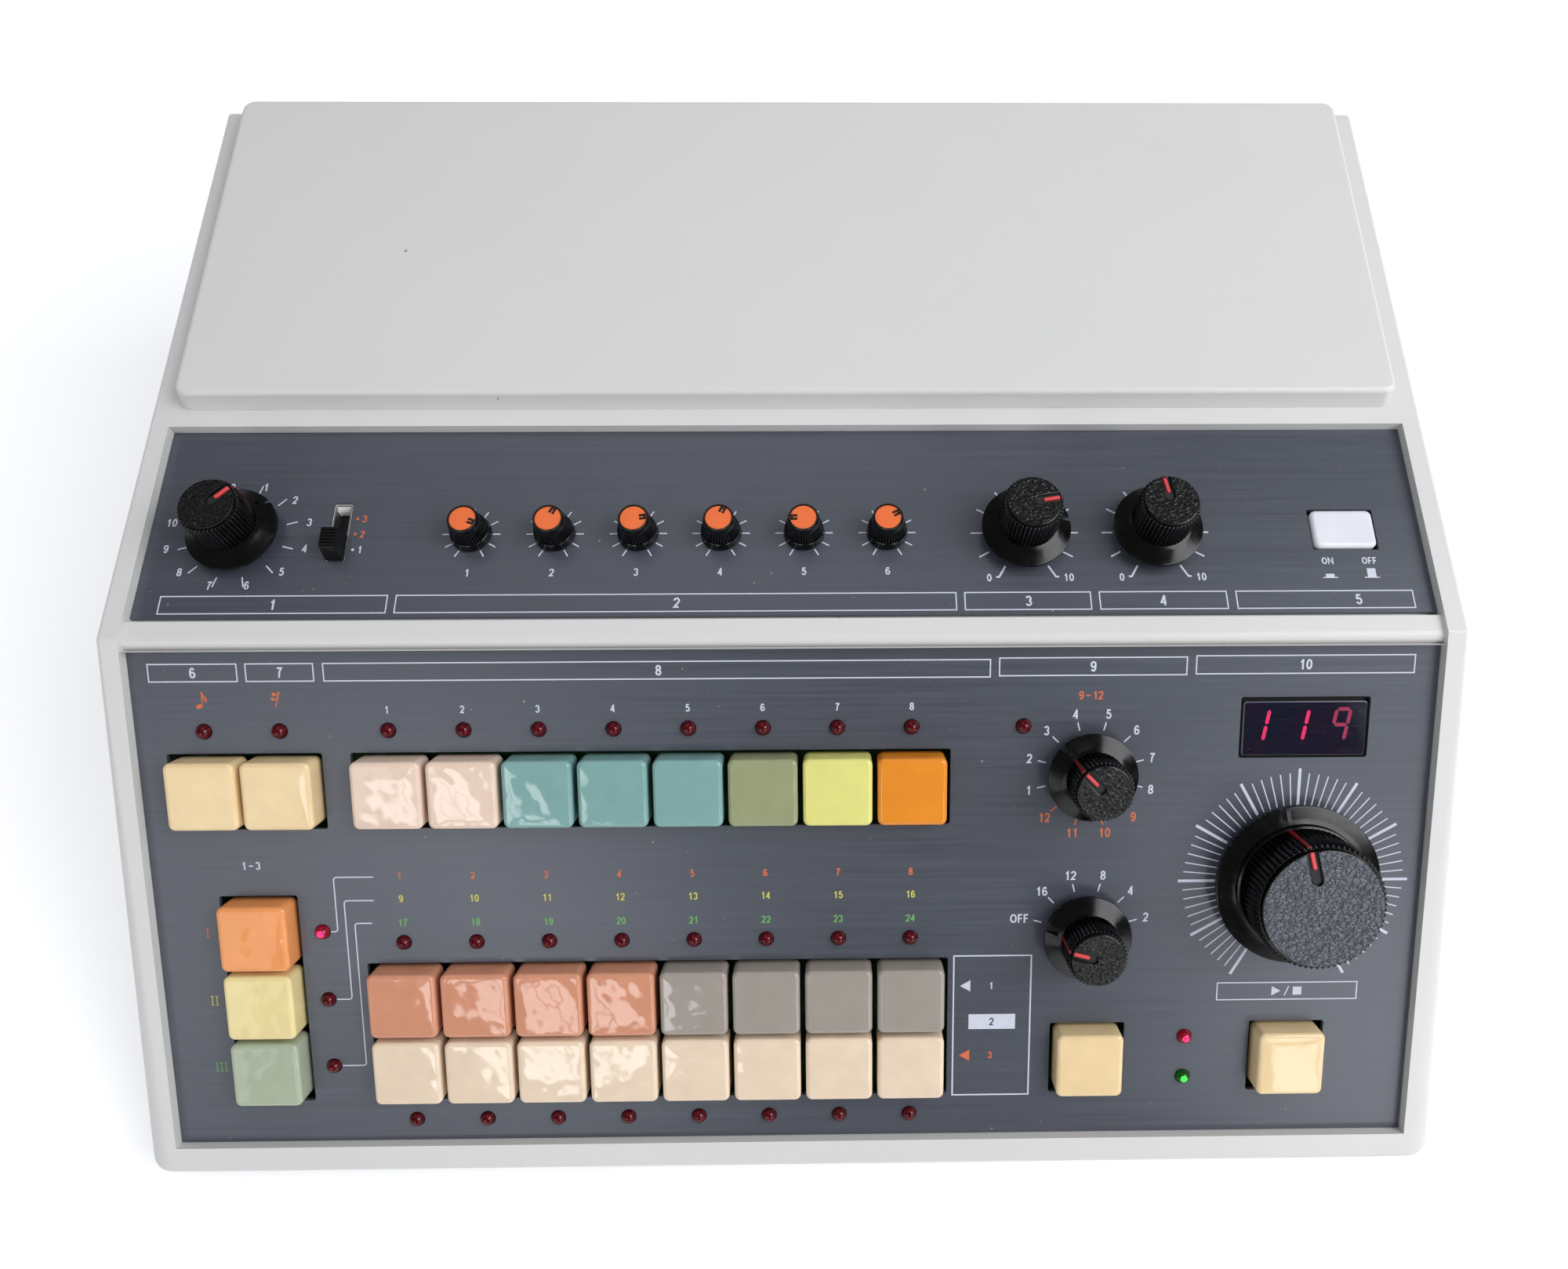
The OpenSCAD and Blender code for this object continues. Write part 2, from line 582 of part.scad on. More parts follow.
module circuit_boards() color([0.25, 0.45, 0.25]) {
    corner_x = panel_w/2 - 11;
    board(desk = true, x = panel_w - 14, y = [-desk_len + 4, -4],
        posts = concat([for (s = [-1, 1]) for (y = [-8, 8 - desk_len]) [s*corner_x, y]],
            [[selector_x - 28, -10], [selector_x - 34, -62], [pair_x + 33, -62]]));
    board(desk = false, x = panel_w - 14, y = [4, deck_len - 4],
        posts = [for (p = [[-112, 10], [-112, 50], [46, 50], [132, 50]]) deck_place(p)]);
    // main board on its four pillars, with a row of chips
    translate([main_board_at[0], main_board_at[1], base_z]) {
        translate([0, 0, 8]) cube([main_board[0], main_board[1], board_t]);
        for (x = [8, main_board[0] - 8]) for (y = [8, main_board[1] - 8])
            translate([x, y, 0]) cylinder(d = 7, h = 9, $fn = 24);
        for (i = [0:5]) translate([22 + i*26, 30, 8]) cube([9, 44, board_t + 4]);
    }
}

// A board parallel to a panel, with the spacers that hold it to the panel
module board(desk, x, y, posts) {
    module parts() {
        translate([-x/2, y[0], board_z - board_t]) cube([x, y[1] - y[0], board_t]);
        for (p = posts) translate([p[0], p[1], board_z - 0.5])
            cylinder(d = spacer_d, h = board_drop + 0.5, $fn = 24);
    }
    if (desk) on_desk() parts(); else on_deck() parts();
}

module power_transformer() color([0.35, 0.35, 0.38])
    translate([transformer_at[0], transformer_at[1], base_z]) {
        translate([0, 0, core_size[2]/2]) cube(core_size, center = true);
        translate([0, 0, core_size[2]/2]) cube(winding_size, center = true);
        // fixing feet
        translate([0, 0, 1]) cube([core_size[0] + 2*fixing_foot, core_size[1], 2], center = true);
    }

module rear_sockets() color([0.12, 0.12, 0.13]) translate([0, back_0[0] - bay_depth, port_z])
    rotate([-90, 0, 0]) {
        for (i = [0:4]) translate([ports[i], 0, 0])
            port(port_kinds[i][0], port_kinds[i][1], port_kinds[i][2], port_kinds[i][3], port_kinds[i][4]);
    }

// A connector: neck through the wall, flange outside it and body inside, bored from the outside
module port(neck_d, flange, flange_h, body_h, bore) difference() {
    union() {
        cylinder(d = flange, h = flange_h, $fn = 32);
        translate([0, 0, -wall - 1]) cylinder(d = neck_d, h = wall + 2, $fn = 32);
        translate([-flange/2, -flange/2, -wall - body_h]) cube([flange, flange, body_h]);
    }
    if (bore > 0) translate([0, 0, -wall - body_h + 2])
        cylinder(d = bore, h = body_h + wall + flange_h, $fn = 32);
}

module rubber_feet() color(black) for (sx = [-1, 1]) for (sy = [-1, 1])
    translate([sx*foot_x, sy*foot_y, 0]) rotate_extrude($fn = 32)
        polygon([[0, 0], [foot_d/2 - 1.6, 0], [foot_d/2 - 0.8, 0.8], [foot_d/2, foot_h], [0, foot_h]]);

module case_screws() color([0.6, 0.6, 0.6]) for (p = screw_spots) translate([p[0], p[1], foot_h]) {
    cylinder(d = 2*screw_d, h = screw_head_h, $fn = 24);
    translate([0, 0, screw_head_h/2]) cylinder(d = screw_d, h = screw_len, $fn = 24);
}

// A key: rounded cap, hollow below, on a square stem that slides in its switch
module key(p, colour) color(colour) desk_spot(p) {
    difference() {
        cap([key_w, key_w], key_r, key_under, key_h);
        translate([-key_w/2 + 1.6, -key_w/2 + 1.6, key_under - 1])
            cube([key_w - 3.2, key_w - 3.2, key_h - key_under - 0.8]);
    }
    translate([-stem_w/2, -stem_w/2, key_foot]) cube([stem_w, stem_w, key_h - 1 - key_foot]);
    for (a = [0, 90]) rotate([0, 0, a]) translate([-key_w/2 + 1, -0.6, key_h - 4.5])
        cube([key_w - 2, 1.2, 3.5]);
}

// A cap with rounded upright edges and a rounded upper rim, from height z0 to z1
module cap(size, r, z0, z1) hull() for (s = [[z0, 0], [z1 - r, 0.1], [z1 - 0.3*r, 0.1 + 0.3*r], [z1, 0.1 + r]])
    translate([0, 0, s[0] - (s[0] == z0 ? 0 : 0.1)]) linear_extrude(0.1)
        polygon(rounded_points(size[0] - 2*s[1], size[1] - 2*s[1], r));

module key_register() key(keys[0], tan);
module key_crash() key(keys[1], tan);
module key_arranger(i) key(keys[i + 1], key_colours[i - 1]);
module key_bank(i) key(keys[i + 9], bank_colours[i - 1]);
module key_preset(i) key(keys[i + 12], i < 5 ? clay : stone);
module key_program(i) key(keys[i + 20], cream);
module key_fill_in() key(keys[29], tan);
module key_start_stop() key(keys[30], tan);

// Outline of a fluted grip: ribs of the given depth around a circle
function fluted(d, n, depth) = [for (i = [0:2*n - 1])
    let (r = d/2 - (i % 2)*depth) [r*cos(180*i/n), r*sin(180*i/n)]];

// The shaft of a knob whose underside is at height gap
module shaft(gap) translate([0, 0, board_z + 1.5])
    cylinder(d = shaft_d, h = -board_z - 1.5 + gap + 3, $fn = 32);

// A skirted knob whose pointer, slot and skirt notch point at angle a, clockwise from the back
module skirted_knob(skirt_d, body_d, h, ribs, slot, a) rotate([0, 0, -a]) {
    disc_r = body_d/2 - 0.7;
    slot_r = body_d/2 - slot;
    bar_len = 4.6;
    difference() {
        union() {
            translate([0, 0, skirt_gap]) rotate_extrude($fn = 48) polygon([[0, 0], [skirt_d/2, 0],
                [skirt_d/2, 0.9], [skirt_d/2 - 0.5, 1.5], [body_d/2 + 0.6, 3.6], [0, 3.6]]);
            translate([0, 0, skirt_gap + 1]) linear_extrude(h - skirt_gap - 2.2)
                polygon(fluted(body_d, ribs, 0.45));
            // the top disc, above a groove
            rotate_extrude($fn = 48) polygon([[0, h - 2], [disc_r - 0.6, h - 2], [disc_r - 0.6, h - 1],
                [disc_r, h - 0.8], [disc_r, h - 0.3], [disc_r - 0.3, h], [0, h]]);
        }
        // pointer slot in the top, and the notch in the skirt
        translate([-1.1, slot_r, h - 0.8]) cube([2.2, body_d/2, 2]);
        translate([0, slot_r, h - 0.8]) cylinder(d = 2.2, h = 2, $fn = 16);
        translate([-0.6, skirt_d/2 - 1.6, skirt_gap + 0.5]) cube([1.2, 3, 4]);
    }
    // pointer bar in the slot
    translate([-0.5, disc_r - 0.3 - bar_len, h - 1]) cube([1, bar_len, 0.9]);
    shaft(skirt_gap);
}

// A small level knob with a coloured cap, pointing at angle a
module level_knob(a) rotate([0, 0, -a]) {
    difference() {
        union() {
            translate([0, 0, level_gap]) rotate_extrude($fn = 32) polygon([[0, 0],
                [level_skirt_d/2, 0], [level_skirt_d/2, 1], [level_skirt_d/2 - 0.6, 2], [0, 2]]);
            translate([0, 0, level_gap + 1]) linear_extrude(level_h - level_gap - 3)
                polygon(fluted(level_skirt_d - 1.6, level_ribs, 0.3));
            rotate_extrude($fn = 32) polygon([[0, level_h - 2.6], [level_skirt_d/2 - 1.2, level_h - 2.6],
                [level_top_d/2 + 0.2, level_h - 0.6], [level_top_d/2 - 0.2, level_h], [0, level_h]]);
        }
        translate([0, 0, level_h - 0.5]) difference() {
            cylinder(r = level_top_d/2 - 0.8, h = 1, $fn = 32);
            translate([-0.7, 1.6, -1]) cube([1.4, 4, 3]);
        }
    }
    shaft(level_gap);
}

module standard_knob(a) color(black)
    skirted_knob(knob_skirt_d, knob_body_d, knob_h, knob_ribs, knob_slot, a);

module knob_program_mode() deck_spot(deck_knobs[0]) standard_knob(45);
module knob_level(i) color(black) deck_spot(level_spots[i - 1])
    level_knob([110, 26, 83, 24, -90, 63][i - 1]);
module knob_accent() deck_spot(deck_knobs[7]) standard_knob(80);
module knob_volume() deck_spot(deck_knobs[8]) standard_knob(-10);
module knob_intro_fill() desk_spot(desk_knobs[0]) standard_knob(-45);
module knob_auto_fill() desk_spot(desk_knobs[1]) standard_knob(-75);
module knob_tempo() color(black) desk_spot(desk_knobs[2])
    skirted_knob(tempo_skirt_d, tempo_body_d, tempo_h, tempo_ribs, tempo_slot, -15);

module slide_switch_lever() color(black)
    deck_spot(slide_spot - [0, (slide_slot[1] - slide_lever[1])/2 - 0.3]) {
        w = slide_lever[0];
        l = slide_lever[1];
        slot_block(slide_stem, -panel_t - 5, 1);
        translate([-w/2, 0, 0]) rotate([90, 0, 90]) linear_extrude(w) polygon(concat(
            [[-l/2, 0.4], [l/2, 0.4], [l/2, 1.5], [l/2 - 1.2, slide_h - 0.8]],
            [for (i = [0:4]) for (k = [0, 1]) [l/2 - 1.6 - i*1.2 - k*0.6, slide_h - k*0.5]],
            [[-l/2 + 1.2, slide_h - 0.8], [-l/2, 1.5]]));
    }

module power_button() color([0.88, 0.88, 0.90]) deck_spot(power_spot) {
    difference() {
        cap(power_size, 1.2, -power_under, power_in_h);
        translate([-power_size[0]/2 + 1.4, -power_size[1]/2 + 1.4, -power_under - 1])
            cube([power_size[0] - 2.8, power_size[1] - 2.8, power_under + power_in_h - 0.4]);
    }
    translate([-power_stem/2, -power_stem/2, power_foot])
        cube([power_stem, power_stem, power_in_h - 0.5 - power_foot]);
}

top_case();
rear_cover();
desk_panel();
deck_panel();
bottom_case();
display_window();
display_digits();
indicator_lamps();
key_switches();
rotary_controls();
circuit_boards();
power_transformer();
rear_sockets();
rubber_feet();
case_screws();
key_register();
key_crash();
for (i = [1:8]) key_arranger(i);
for (i = [1:3]) key_bank(i);
for (i = [1:8]) key_preset(i);
for (i = [1:8]) key_program(i);
key_fill_in();
key_start_stop();
knob_program_mode();
for (i = [1:6]) knob_level(i);
knob_accent();
knob_volume();
knob_intro_fill();
knob_auto_fill();
knob_tempo();
slide_switch_lever();
power_button();
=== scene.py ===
import json
import math

import bpy
import numpy as np
from mathutils import Matrix, Vector


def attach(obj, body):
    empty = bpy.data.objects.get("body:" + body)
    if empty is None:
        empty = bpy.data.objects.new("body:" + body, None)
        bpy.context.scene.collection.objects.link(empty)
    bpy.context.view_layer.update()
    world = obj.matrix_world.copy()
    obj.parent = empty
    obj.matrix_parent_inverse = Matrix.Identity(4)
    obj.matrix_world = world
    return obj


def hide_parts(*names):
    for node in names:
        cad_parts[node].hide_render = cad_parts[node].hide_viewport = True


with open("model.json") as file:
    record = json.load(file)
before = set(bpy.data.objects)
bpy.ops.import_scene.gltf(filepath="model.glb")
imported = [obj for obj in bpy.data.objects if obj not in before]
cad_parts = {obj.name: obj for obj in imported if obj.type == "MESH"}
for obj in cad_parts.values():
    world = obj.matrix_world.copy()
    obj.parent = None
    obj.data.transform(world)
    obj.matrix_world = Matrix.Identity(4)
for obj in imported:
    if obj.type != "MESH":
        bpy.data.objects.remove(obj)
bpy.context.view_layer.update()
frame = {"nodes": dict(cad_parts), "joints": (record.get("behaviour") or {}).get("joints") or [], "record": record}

# Shapes are written in millimetres on one of the two control panels: x across from the panel's middle,
# y up the panel and z out of it. A panel's matrix turns them into the frame's metres.
MM = 0.001
PRINT = 0.03         # height of print above its panel, and of the display's bars above their pane
SHAFT = 3            # radius of the shaft under a knob
RIB_STEPS = 6        # points along each rib of a knob
JOINTS = {joint["name"]: joint for joint in frame["joints"]}
SLOTS = {row["node"]: row["material_slot"] for row in frame["record"]["subparts"]}
MOUNTS = {mount["name"]: mount for mount in frame["record"]["mounts"]}


def standing(origin, across, up, out):
    """The matrix of a place in metres with these three axes."""
    return Matrix.Translation(origin) @ Matrix((across, up, out)).transposed().to_4x4()


def panel(joint, x, y):
    """The matrix of the panel on which that joint's axis stands at x, y."""
    out = Vector(JOINTS[joint]["axis"]).normalized()
    across = Vector((1, 0, 0))
    up = out.cross(across)
    origin = Vector(JOINTS[joint]["pos_m"]) - MM * (x * across + y * up)
    return standing(origin, across, up, out) @ Matrix.Scale(MM, 4)


DESK = panel("knob_tempo_turn", 147, -70.4)
DECK = panel("knob_volume_turn", 106.7, 26.1)


def points_of(node, place):
    """A CAD node's vertices in millimetres of a place."""
    inverse = place.inverted()
    return np.array([inverse @ v.co for v in frame["nodes"][node].data.vertices])


def box_of(points):
    """The middle and the size of the box around points."""
    low, high = points.min(0), points.max(0)
    return (low + high) / 2, high - low


def middle_of(node, place):
    return box_of(points_of(node, place))[0]


# ---------------- shapes


class Shape:
    """Vertices and faces in millimetres, each face with the number of its material."""

    def __init__(self):
        self.points, self.faces, self.inks = [], [], []

    def add(self, points, faces, ink=0):
        start = len(self.points)
        self.points += [tuple(p) for p in points]
        self.faces += [tuple(i + start for i in face) for face in faces]
        self.inks += [ink] * len(faces)

    def flat(self, points, z, ink=0):
        """One flat face with a counter-clockwise outline."""
        self.add(at(points, z), [tuple(range(len(points)))], ink)

    def loft(self, rings, ink=0, start=False, end=False):
        """Joins rings with the same number of points. Counter-clockwise rings, going up, face outwards."""
        n = len(rings[0])
        faces = []
        for k in range(len(rings) - 1):
            for i in range(n):
                j = (i + 1) % n
                faces.append((k * n + i, k * n + j, (k + 1) * n + j, (k + 1) * n + i))
        if start:
            faces.append(tuple(range(n - 1, -1, -1)))
        if end:
            faces.append(tuple(range((len(rings) - 1) * n, len(rings) * n)))
        self.add([p for ring in rings for p in ring], faces, ink)

    def merge(self, other, x, y, z):
        """Adds another shape, moved."""
        for k, face in enumerate(other.faces):
            self.inks.append(other.inks[k])
            self.faces.append(tuple(i + len(self.points) for i in face))
        self.points += [(p[0] + x, p[1] + y, p[2] + z) for p in other.points]


def at(outline, z):
    return [(p[0], p[1], z) for p in outline]


def arc(x, y, across, up, start, end, steps=16):
    """Points along a part of an ellipse, with angles counter-clockwise from the right."""
    turns = [math.radians(start + (end - start) * i / steps) for i in range(steps + 1)]
    return [(x + across * math.cos(a), y + up * math.sin(a)) for a in turns]


def circle(radius, steps=48, x=0, y=0):
    return arc(x, y, radius, radius, 0, 360, steps)[:-1]


def clock(angle, across, up, x, y):
    """The point of an ellipse at a dial's angle, which goes clockwise from the top."""
    a = math.radians(90 - angle)
    return x + across * math.cos(a), y + up * math.sin(a)


def rounded(width, height, radius, steps=5, spans=1, x=0, y=0):
    """Outline of a rounded rectangle whose straight edges are cut into spans."""
    outline = []
    for k, (sx, sy) in enumerate([(1, 1), (-1, 1), (-1, -1), (1, -1)]):
        corner = x + sx * (width / 2 - radius), y + sy * (height / 2 - radius)
        outline += arc(*corner, radius, radius, 90 * k, 90 * k + 90, steps)
    cut = []
    for i, p in enumerate(outline):
        q = outline[(i + 1) % len(outline)]
        parts = spans if i % (steps + 1) == steps else 1
        cut += [(p[0] + (q[0] - p[0]) * k / parts, p[1] + (q[1] - p[1]) * k / parts) for k in range(parts)]
    return cut


def stepped(width, height, radius, steps, x, y):
    """Rings of a rounded rectangle, each drawn in by an inset at a height."""
    return [at(rounded(width - 2 * i, height - 2 * i, radius, x=x, y=y), z) for i, z in steps]


def turned(shape, profile, ink=0, steps=48, x=0, y=0, end=False):
    """A profile of (radius, height) points turned about an upright axis."""
    shape.loft([at(circle(r, steps, x, y), z) for r, z in profile], ink, end=end)


def cap(shape, width, height, corner, edge, low, high, ink=0, crown=0.0, x=0, y=0, kink=0):
    """A cap with upright walls and a rounded upper edge that meets the top at an angle of about kink.
    The top is flat but for its rim, from which it rises by crown."""
    last = math.radians(90 - kink)
    insets = [(0, low), (0, high - edge)]
    for k in range(1, 7):
        turn = last * k / 6
        insets.append((edge * (1 - math.cos(turn)) / (1 - math.cos(last)),
                       high - edge + edge * math.sin(turn) / math.sin(last)))
    rings = []
    for i, z in insets:
        rings.append(at(rounded(width - 2 * i, height - 2 * i, max(corner - i, 0.1), 5, 4, x, y), z))
    half_x, half_y = width / 2 - edge, height / 2 - edge
    least = min(half_x, half_y)
    for share in (0.99, 0.965, 0.93, 0.88, 0.81, 0.7, 0.4, 0.12):
        radius = min(max(corner - edge - (1 - share) * least, 0.15 * share), 0.9 * share * least)
        ring = rounded(2 * half_x * share, 2 * half_y * share, radius, 5, 4, x, y)
        rise = [(1 - ((p[0] - x) / half_x) ** 6) * (1 - ((p[1] - y) / half_y) ** 6) for p in ring]
        rings.append([(*p, high + crown * r) for p, r in zip(ring, rise)])
    shape.loft(rings, ink, end=True)


def add_object(name, data):
    made = bpy.data.objects.new(name, data)
    bpy.context.scene.collection.objects.link(made)
    return made


def piece(name, shape, place, looks, body="case", crease=38, replaces=()):
    """Makes an object of the shape, lets it ride on a body and hides the nodes that it stands for."""
    mesh = bpy.data.meshes.new(name)
    mesh.from_pydata([place @ Vector(p) for p in shape.points], [], shape.faces)
    for look in looks:
        mesh.materials.append(look)
    mesh.polygons.foreach_set("material_index", shape.inks)
    mesh.shade_smooth()
    mesh.set_sharp_from_angle(angle=math.radians(crease))
    made = add_object(name, mesh)
    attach(made, body)
    if replaces:
        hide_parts(*replaces)
    return made


def moving_piece(name, shape, place, looks, node, crease=38):
    """A piece that rides on a moving node and stands for it."""
    piece(name, shape, place, looks, node, crease, [node])


# ---------------- finishes


def srgb(red, green, blue):
    """A colour from 0 to 255 as the linear values that Blender takes."""
    return tuple(((c / 255 + 0.055) / 1.055) ** 2.4 for c in (red, green, blue)) + (1.0,)


def shade(colour, factor):
    return tuple(min(c * factor, 1.0) for c in colour[:3]) + (1.0,)


class Nodes:
    """The shader nodes of a material or of the world."""

    def __init__(self, tree):
        self.tree = tree

    def join(self, socket, value):
        if isinstance(value, bpy.types.NodeSocket):
            self.tree.links.new(value, socket)
        else:
            socket.default_value = value

    def node(self, kind, inputs=None, **settings):
        made = self.tree.nodes.new("ShaderNode" + kind)
        for key, value in settings.items():
            setattr(made, key, value)
        for key, value in (inputs or {}).items():
            self.join(made.inputs[key], value)
        return made

    def maths(self, operation, a, b=0.0):
        return self.node("Math", {0: a, 1: b}, operation=operation).outputs[0]

    def span(self, value, low, high, to_low=0.0, to_high=1.0):
        """value carried from low..high to to_low..to_high."""
        ends = {"From Min": low, "From Max": high, "To Min": to_low, "To Max": to_high}
        return self.node("MapRange", {"Value": value, **ends}).outputs["Result"]


class Finish(Nodes):
    """A material around one Principled shader, with textures in millimetres of the rest pose."""

    def __init__(self, name, gloss=0.5, metal=0.0):
        self.material = bpy.data.materials.new(name)
        self.material.use_nodes = True
        super().__init__(self.material.node_tree)
        self.shader = self.tree.nodes["Principled BSDF"]
        self.normal = None
        self.put("Specular IOR Level", gloss)
        self.put("Metallic", metal)

    def put(self, socket, value):
        self.join(self.shader.inputs[socket], value)

    def place(self, size, stretch=(1, 1, 1)):
        """Coordinates in which the given size, in millimetres, is 1."""
        source = self.node("TexCoord").outputs["Object"]
        scale = [1 / (MM * size * s) for s in stretch]
        return self.node("Mapping", {"Vector": source, "Scale": scale}).outputs["Vector"]

    def noise(self, size, detail, stretch=(1, 1, 1)):
        inputs = {"Vector": self.place(size, stretch), "Scale": 1.0, "Detail": detail}
        return self.node("TexNoise", inputs).outputs["Fac"]

    def patches(self, size, detail, low=0.3, high=0.7, to_low=0.0, to_high=1.0):
        """Noise with its values from low to high carried to to_low..to_high."""
        return self.span(self.noise(size, detail), low, high, to_low, to_high)

    def rough(self, size, detail, low, high):
        """A roughness that changes softly between low and high."""
        self.put("Roughness", self.patches(size, detail, to_low=low, to_high=high))

    def cells(self, size, stretch=(1, 1, 1), feature="F1", warp=0.0):
        """Cells whose edges are bent by warp, a share of their size."""
        spot = self.place(size, stretch)
        if warp:
            drift = self.node("TexNoise", {"Vector": spot, "Scale": 1.0, "Detail": 1.0}).outputs["Color"]
            bent = {0: drift, 1: [warp] * 3, 2: spot}
            spot = self.node("VectorMath", bent, operation="MULTIPLY_ADD").outputs[0]
        return self.node("TexVoronoi", {"Vector": spot, "Scale": 1.0}, feature=feature)

    def specks(self, cell, largest, stretch=(1, 1, 1)):
        """1 on scattered specks of dust up to the largest radius, and 0 elsewhere."""
        cells = self.cells(cell, stretch)
        share = self.node("SeparateColor", {"Color": cells.outputs["Color"]}).outputs["Red"]
        radius = self.maths("MULTIPLY", self.maths("POWER", share, 6.0), largest / cell)
        return self.maths("LESS_THAN", cells.outputs["Distance"], radius)

    def blend(self, factor, a, b):
        return self.node("Mix", {0: factor, 6: a, 7: b}, data_type="RGBA").outputs[2]

    def paint(self, factor, a, b):
        self.put("Base Color", self.blend(factor, a, b))

    def dust(self, base, specks, share, colour):
        """The base colour under specks that hide that share of it."""
        self.paint(self.maths("MULTIPLY", specks, share), base, colour)

    def bump(self, height, depth):
        """Raises the surface by up to depth millimetres."""
        made = self.node("Bump", {"Height": height, "Distance": depth * MM})
        if self.normal:
            self.join(made.inputs["Normal"], self.normal)
        self.normal = made.outputs["Normal"]
        self.put("Normal", self.normal)


def case_look():
    """Ivory moulded plastic: satin skin, soft stains and a few marks."""
    look = Finish("ivory_plastic")
    ivory = srgb(215, 214, 212)
    stained = shade(ivory, 0.985)
    base = look.blend(look.patches(60, 4, 0.35), ivory, stained)
    grain = look.blend(look.patches(4, 2, to_high=0.4), base, stained)
    marks = look.maths("MAXIMUM", look.specks(17, 0.8), look.specks(41, 1.1, (3, 1, 1)))
    look.paint(marks, grain, srgb(146, 143, 136))
    look.rough(25, 3, 0.3, 0.4)
    look.bump(look.noise(1.8, 1), 0.006)
    look.bump(look.noise(30, 1), 0.08)
    return look.material


def panel_look():
    """Dark anodised aluminium, brushed across, with dust and light scuffs."""
    look = Finish("brushed_charcoal", 0.9, 0.25)
    fine = look.noise(0.16, 3, stretch=(160, 1, 1))
    broad = look.noise(1.3, 2, stretch=(60, 1, 1))
    streaks = look.maths("ADD", look.maths("MULTIPLY", fine, 0.65), look.maths("MULTIPLY", broad, 0.35))
    brushed = look.blend(look.span(streaks, 0.3, 0.7), srgb(69, 73, 83), srgb(86, 91, 102))
    worn = look.blend(look.patches(55, 3, 0.3, 0.75, 0, 0.35), brushed, srgb(82, 86, 96))
    specks = look.maths("MAXIMUM", look.specks(5, 0.34), look.specks(2.3, 0.15))
    look.dust(worn, specks, 0.65, srgb(180, 182, 188))
    look.put("Roughness", look.span(streaks, 0.3, 0.7, 0.3, 0.42))
    look.bump(broad, 0.004)
    return look.material


def gloss_look(name, colour, roughness, wave, dirt=0.06):
    """Glossy moulded plastic whose skin is slightly wavy."""
    look = Finish(name)
    base = look.blend(look.patches(7, 3), shade(colour, 1.02), shade(colour, 0.95))
    look.dust(base, look.specks(2.2, 0.1), 0.25, shade(colour, 0.6))
    look.put("Roughness", look.patches(3, 3, 0.3, 0.75, roughness, roughness + dirt))
    look.bump(look.noise(5.5, 0.5), wave)
    look.bump(look.noise(2.4, 0), wave * 0.08)
    return look.material


def key_look(name, colour, wave=0.22):
    """The keys' skin, polished and wavy enough to bend the windows that it mirrors."""
    return gloss_look(name, colour, 0.05, wave, 0.04)


def black_look(name, grey, roughness, dusty=0.5, gloss=0.3):
    """Black plastic with handling marks and dust."""
    look = Finish(name, gloss)
    smear = look.patches(4, 4, 0.4, 0.75, 0, 0.35)
    base = look.blend(smear, srgb(grey, grey, grey + 1), srgb(grey + 8, grey + 8, grey + 10))
    look.dust(base, look.specks(1.9, 0.1), dusty, srgb(150, 150, 148))
    look.rough(2.5, 4, roughness, roughness + 0.12)
    look.bump(look.noise(0.5, 3), 0.005)
    return look.material


def grain_look(name, size, lump, gloss):
    """The leather grain on the knobs' tops: rounded lumps between creases, with painted shade darkening the
    creases.
    """
    look = Finish(name, gloss)
    edges = look.cells(size, (1.3, 1, 1), "DISTANCE_TO_EDGE", warp=1.2).outputs["Distance"]
    fine = look.maths("MULTIPLY", look.noise(size * 0.4, 1), 0.3)
    lumps = look.maths("ADD", look.span(edges, 0.0, 0.24), fine)
    # the lumps keep their colour and the creases are painted near black as painted shade
    base = look.blend(look.span(lumps, 0.15, 0.8), shade(lump, 0.08), lump)
    look.dust(base, look.specks(1.4, 0.1), 0.4, srgb(130, 130, 130))
    look.rough(3, 3, 0.28, 0.38)
    look.bump(lumps, 0.16)
    return look.material


def paint_look(name, colour):
    """Printed ink, slightly uneven and rubbed."""
    look = Finish(name)
    rub = look.patches(1.1, 4, 0.45, 0.8, 0, 0.35)
    look.paint(rub, colour, shade(colour, 0.75))
    look.rough(0.6, 2, 0.45, 0.6)
    look.bump(look.noise(0.25, 2), 0.004)
    return look.material


def lamp_look(name, colour, glow=0.0, glow_colour=None):
    """A tinted clear dome, lit from inside when it glows."""
    look = Finish(name, 0.4)
    look.paint(look.patches(1.4, 2), colour, shade(colour, 0.45))
    look.rough(1.0, 2, 0.05, 0.1)
    if glow:
        look.put("Emission Color", glow_colour)
        look.put("Emission Strength", look.patches(1.6, 1, 0.35, 0.65, glow * 0.7, glow))
    return look.material


def metal_look(name, colour, roughness=0.3):
    """Plated or bare metal, finely scratched."""
    look = Finish(name, metal=1.0)
    look.paint(look.patches(2.0, 4, 0.35), colour, shade(colour, 0.75))
    look.rough(0.8, 4, roughness, roughness + 0.2)
    look.bump(look.noise(0.3, 3), 0.005)
    return look.material


def pane_look():
    """The display's smoked filter, finely scratched."""
    look = Finish("display_filter", 0.25)
    base = look.blend(look.patches(9, 3), srgb(31, 21, 38), srgb(19, 24, 39))
    scratch = look.span(look.noise(0.3, 3, stretch=(26, 1, 1)), 0.6, 0.74, 0, 0.2)
    marked = look.blend(scratch, base, srgb(84, 80, 100))
    look.dust(marked, look.specks(2.4, 0.16), 0.5, srgb(150, 150, 165))
    look.rough(2, 4, 0.04, 0.1)
    look.bump(look.noise(0.4, 3, stretch=(30, 1, 1)), 0.004)
    return look.material


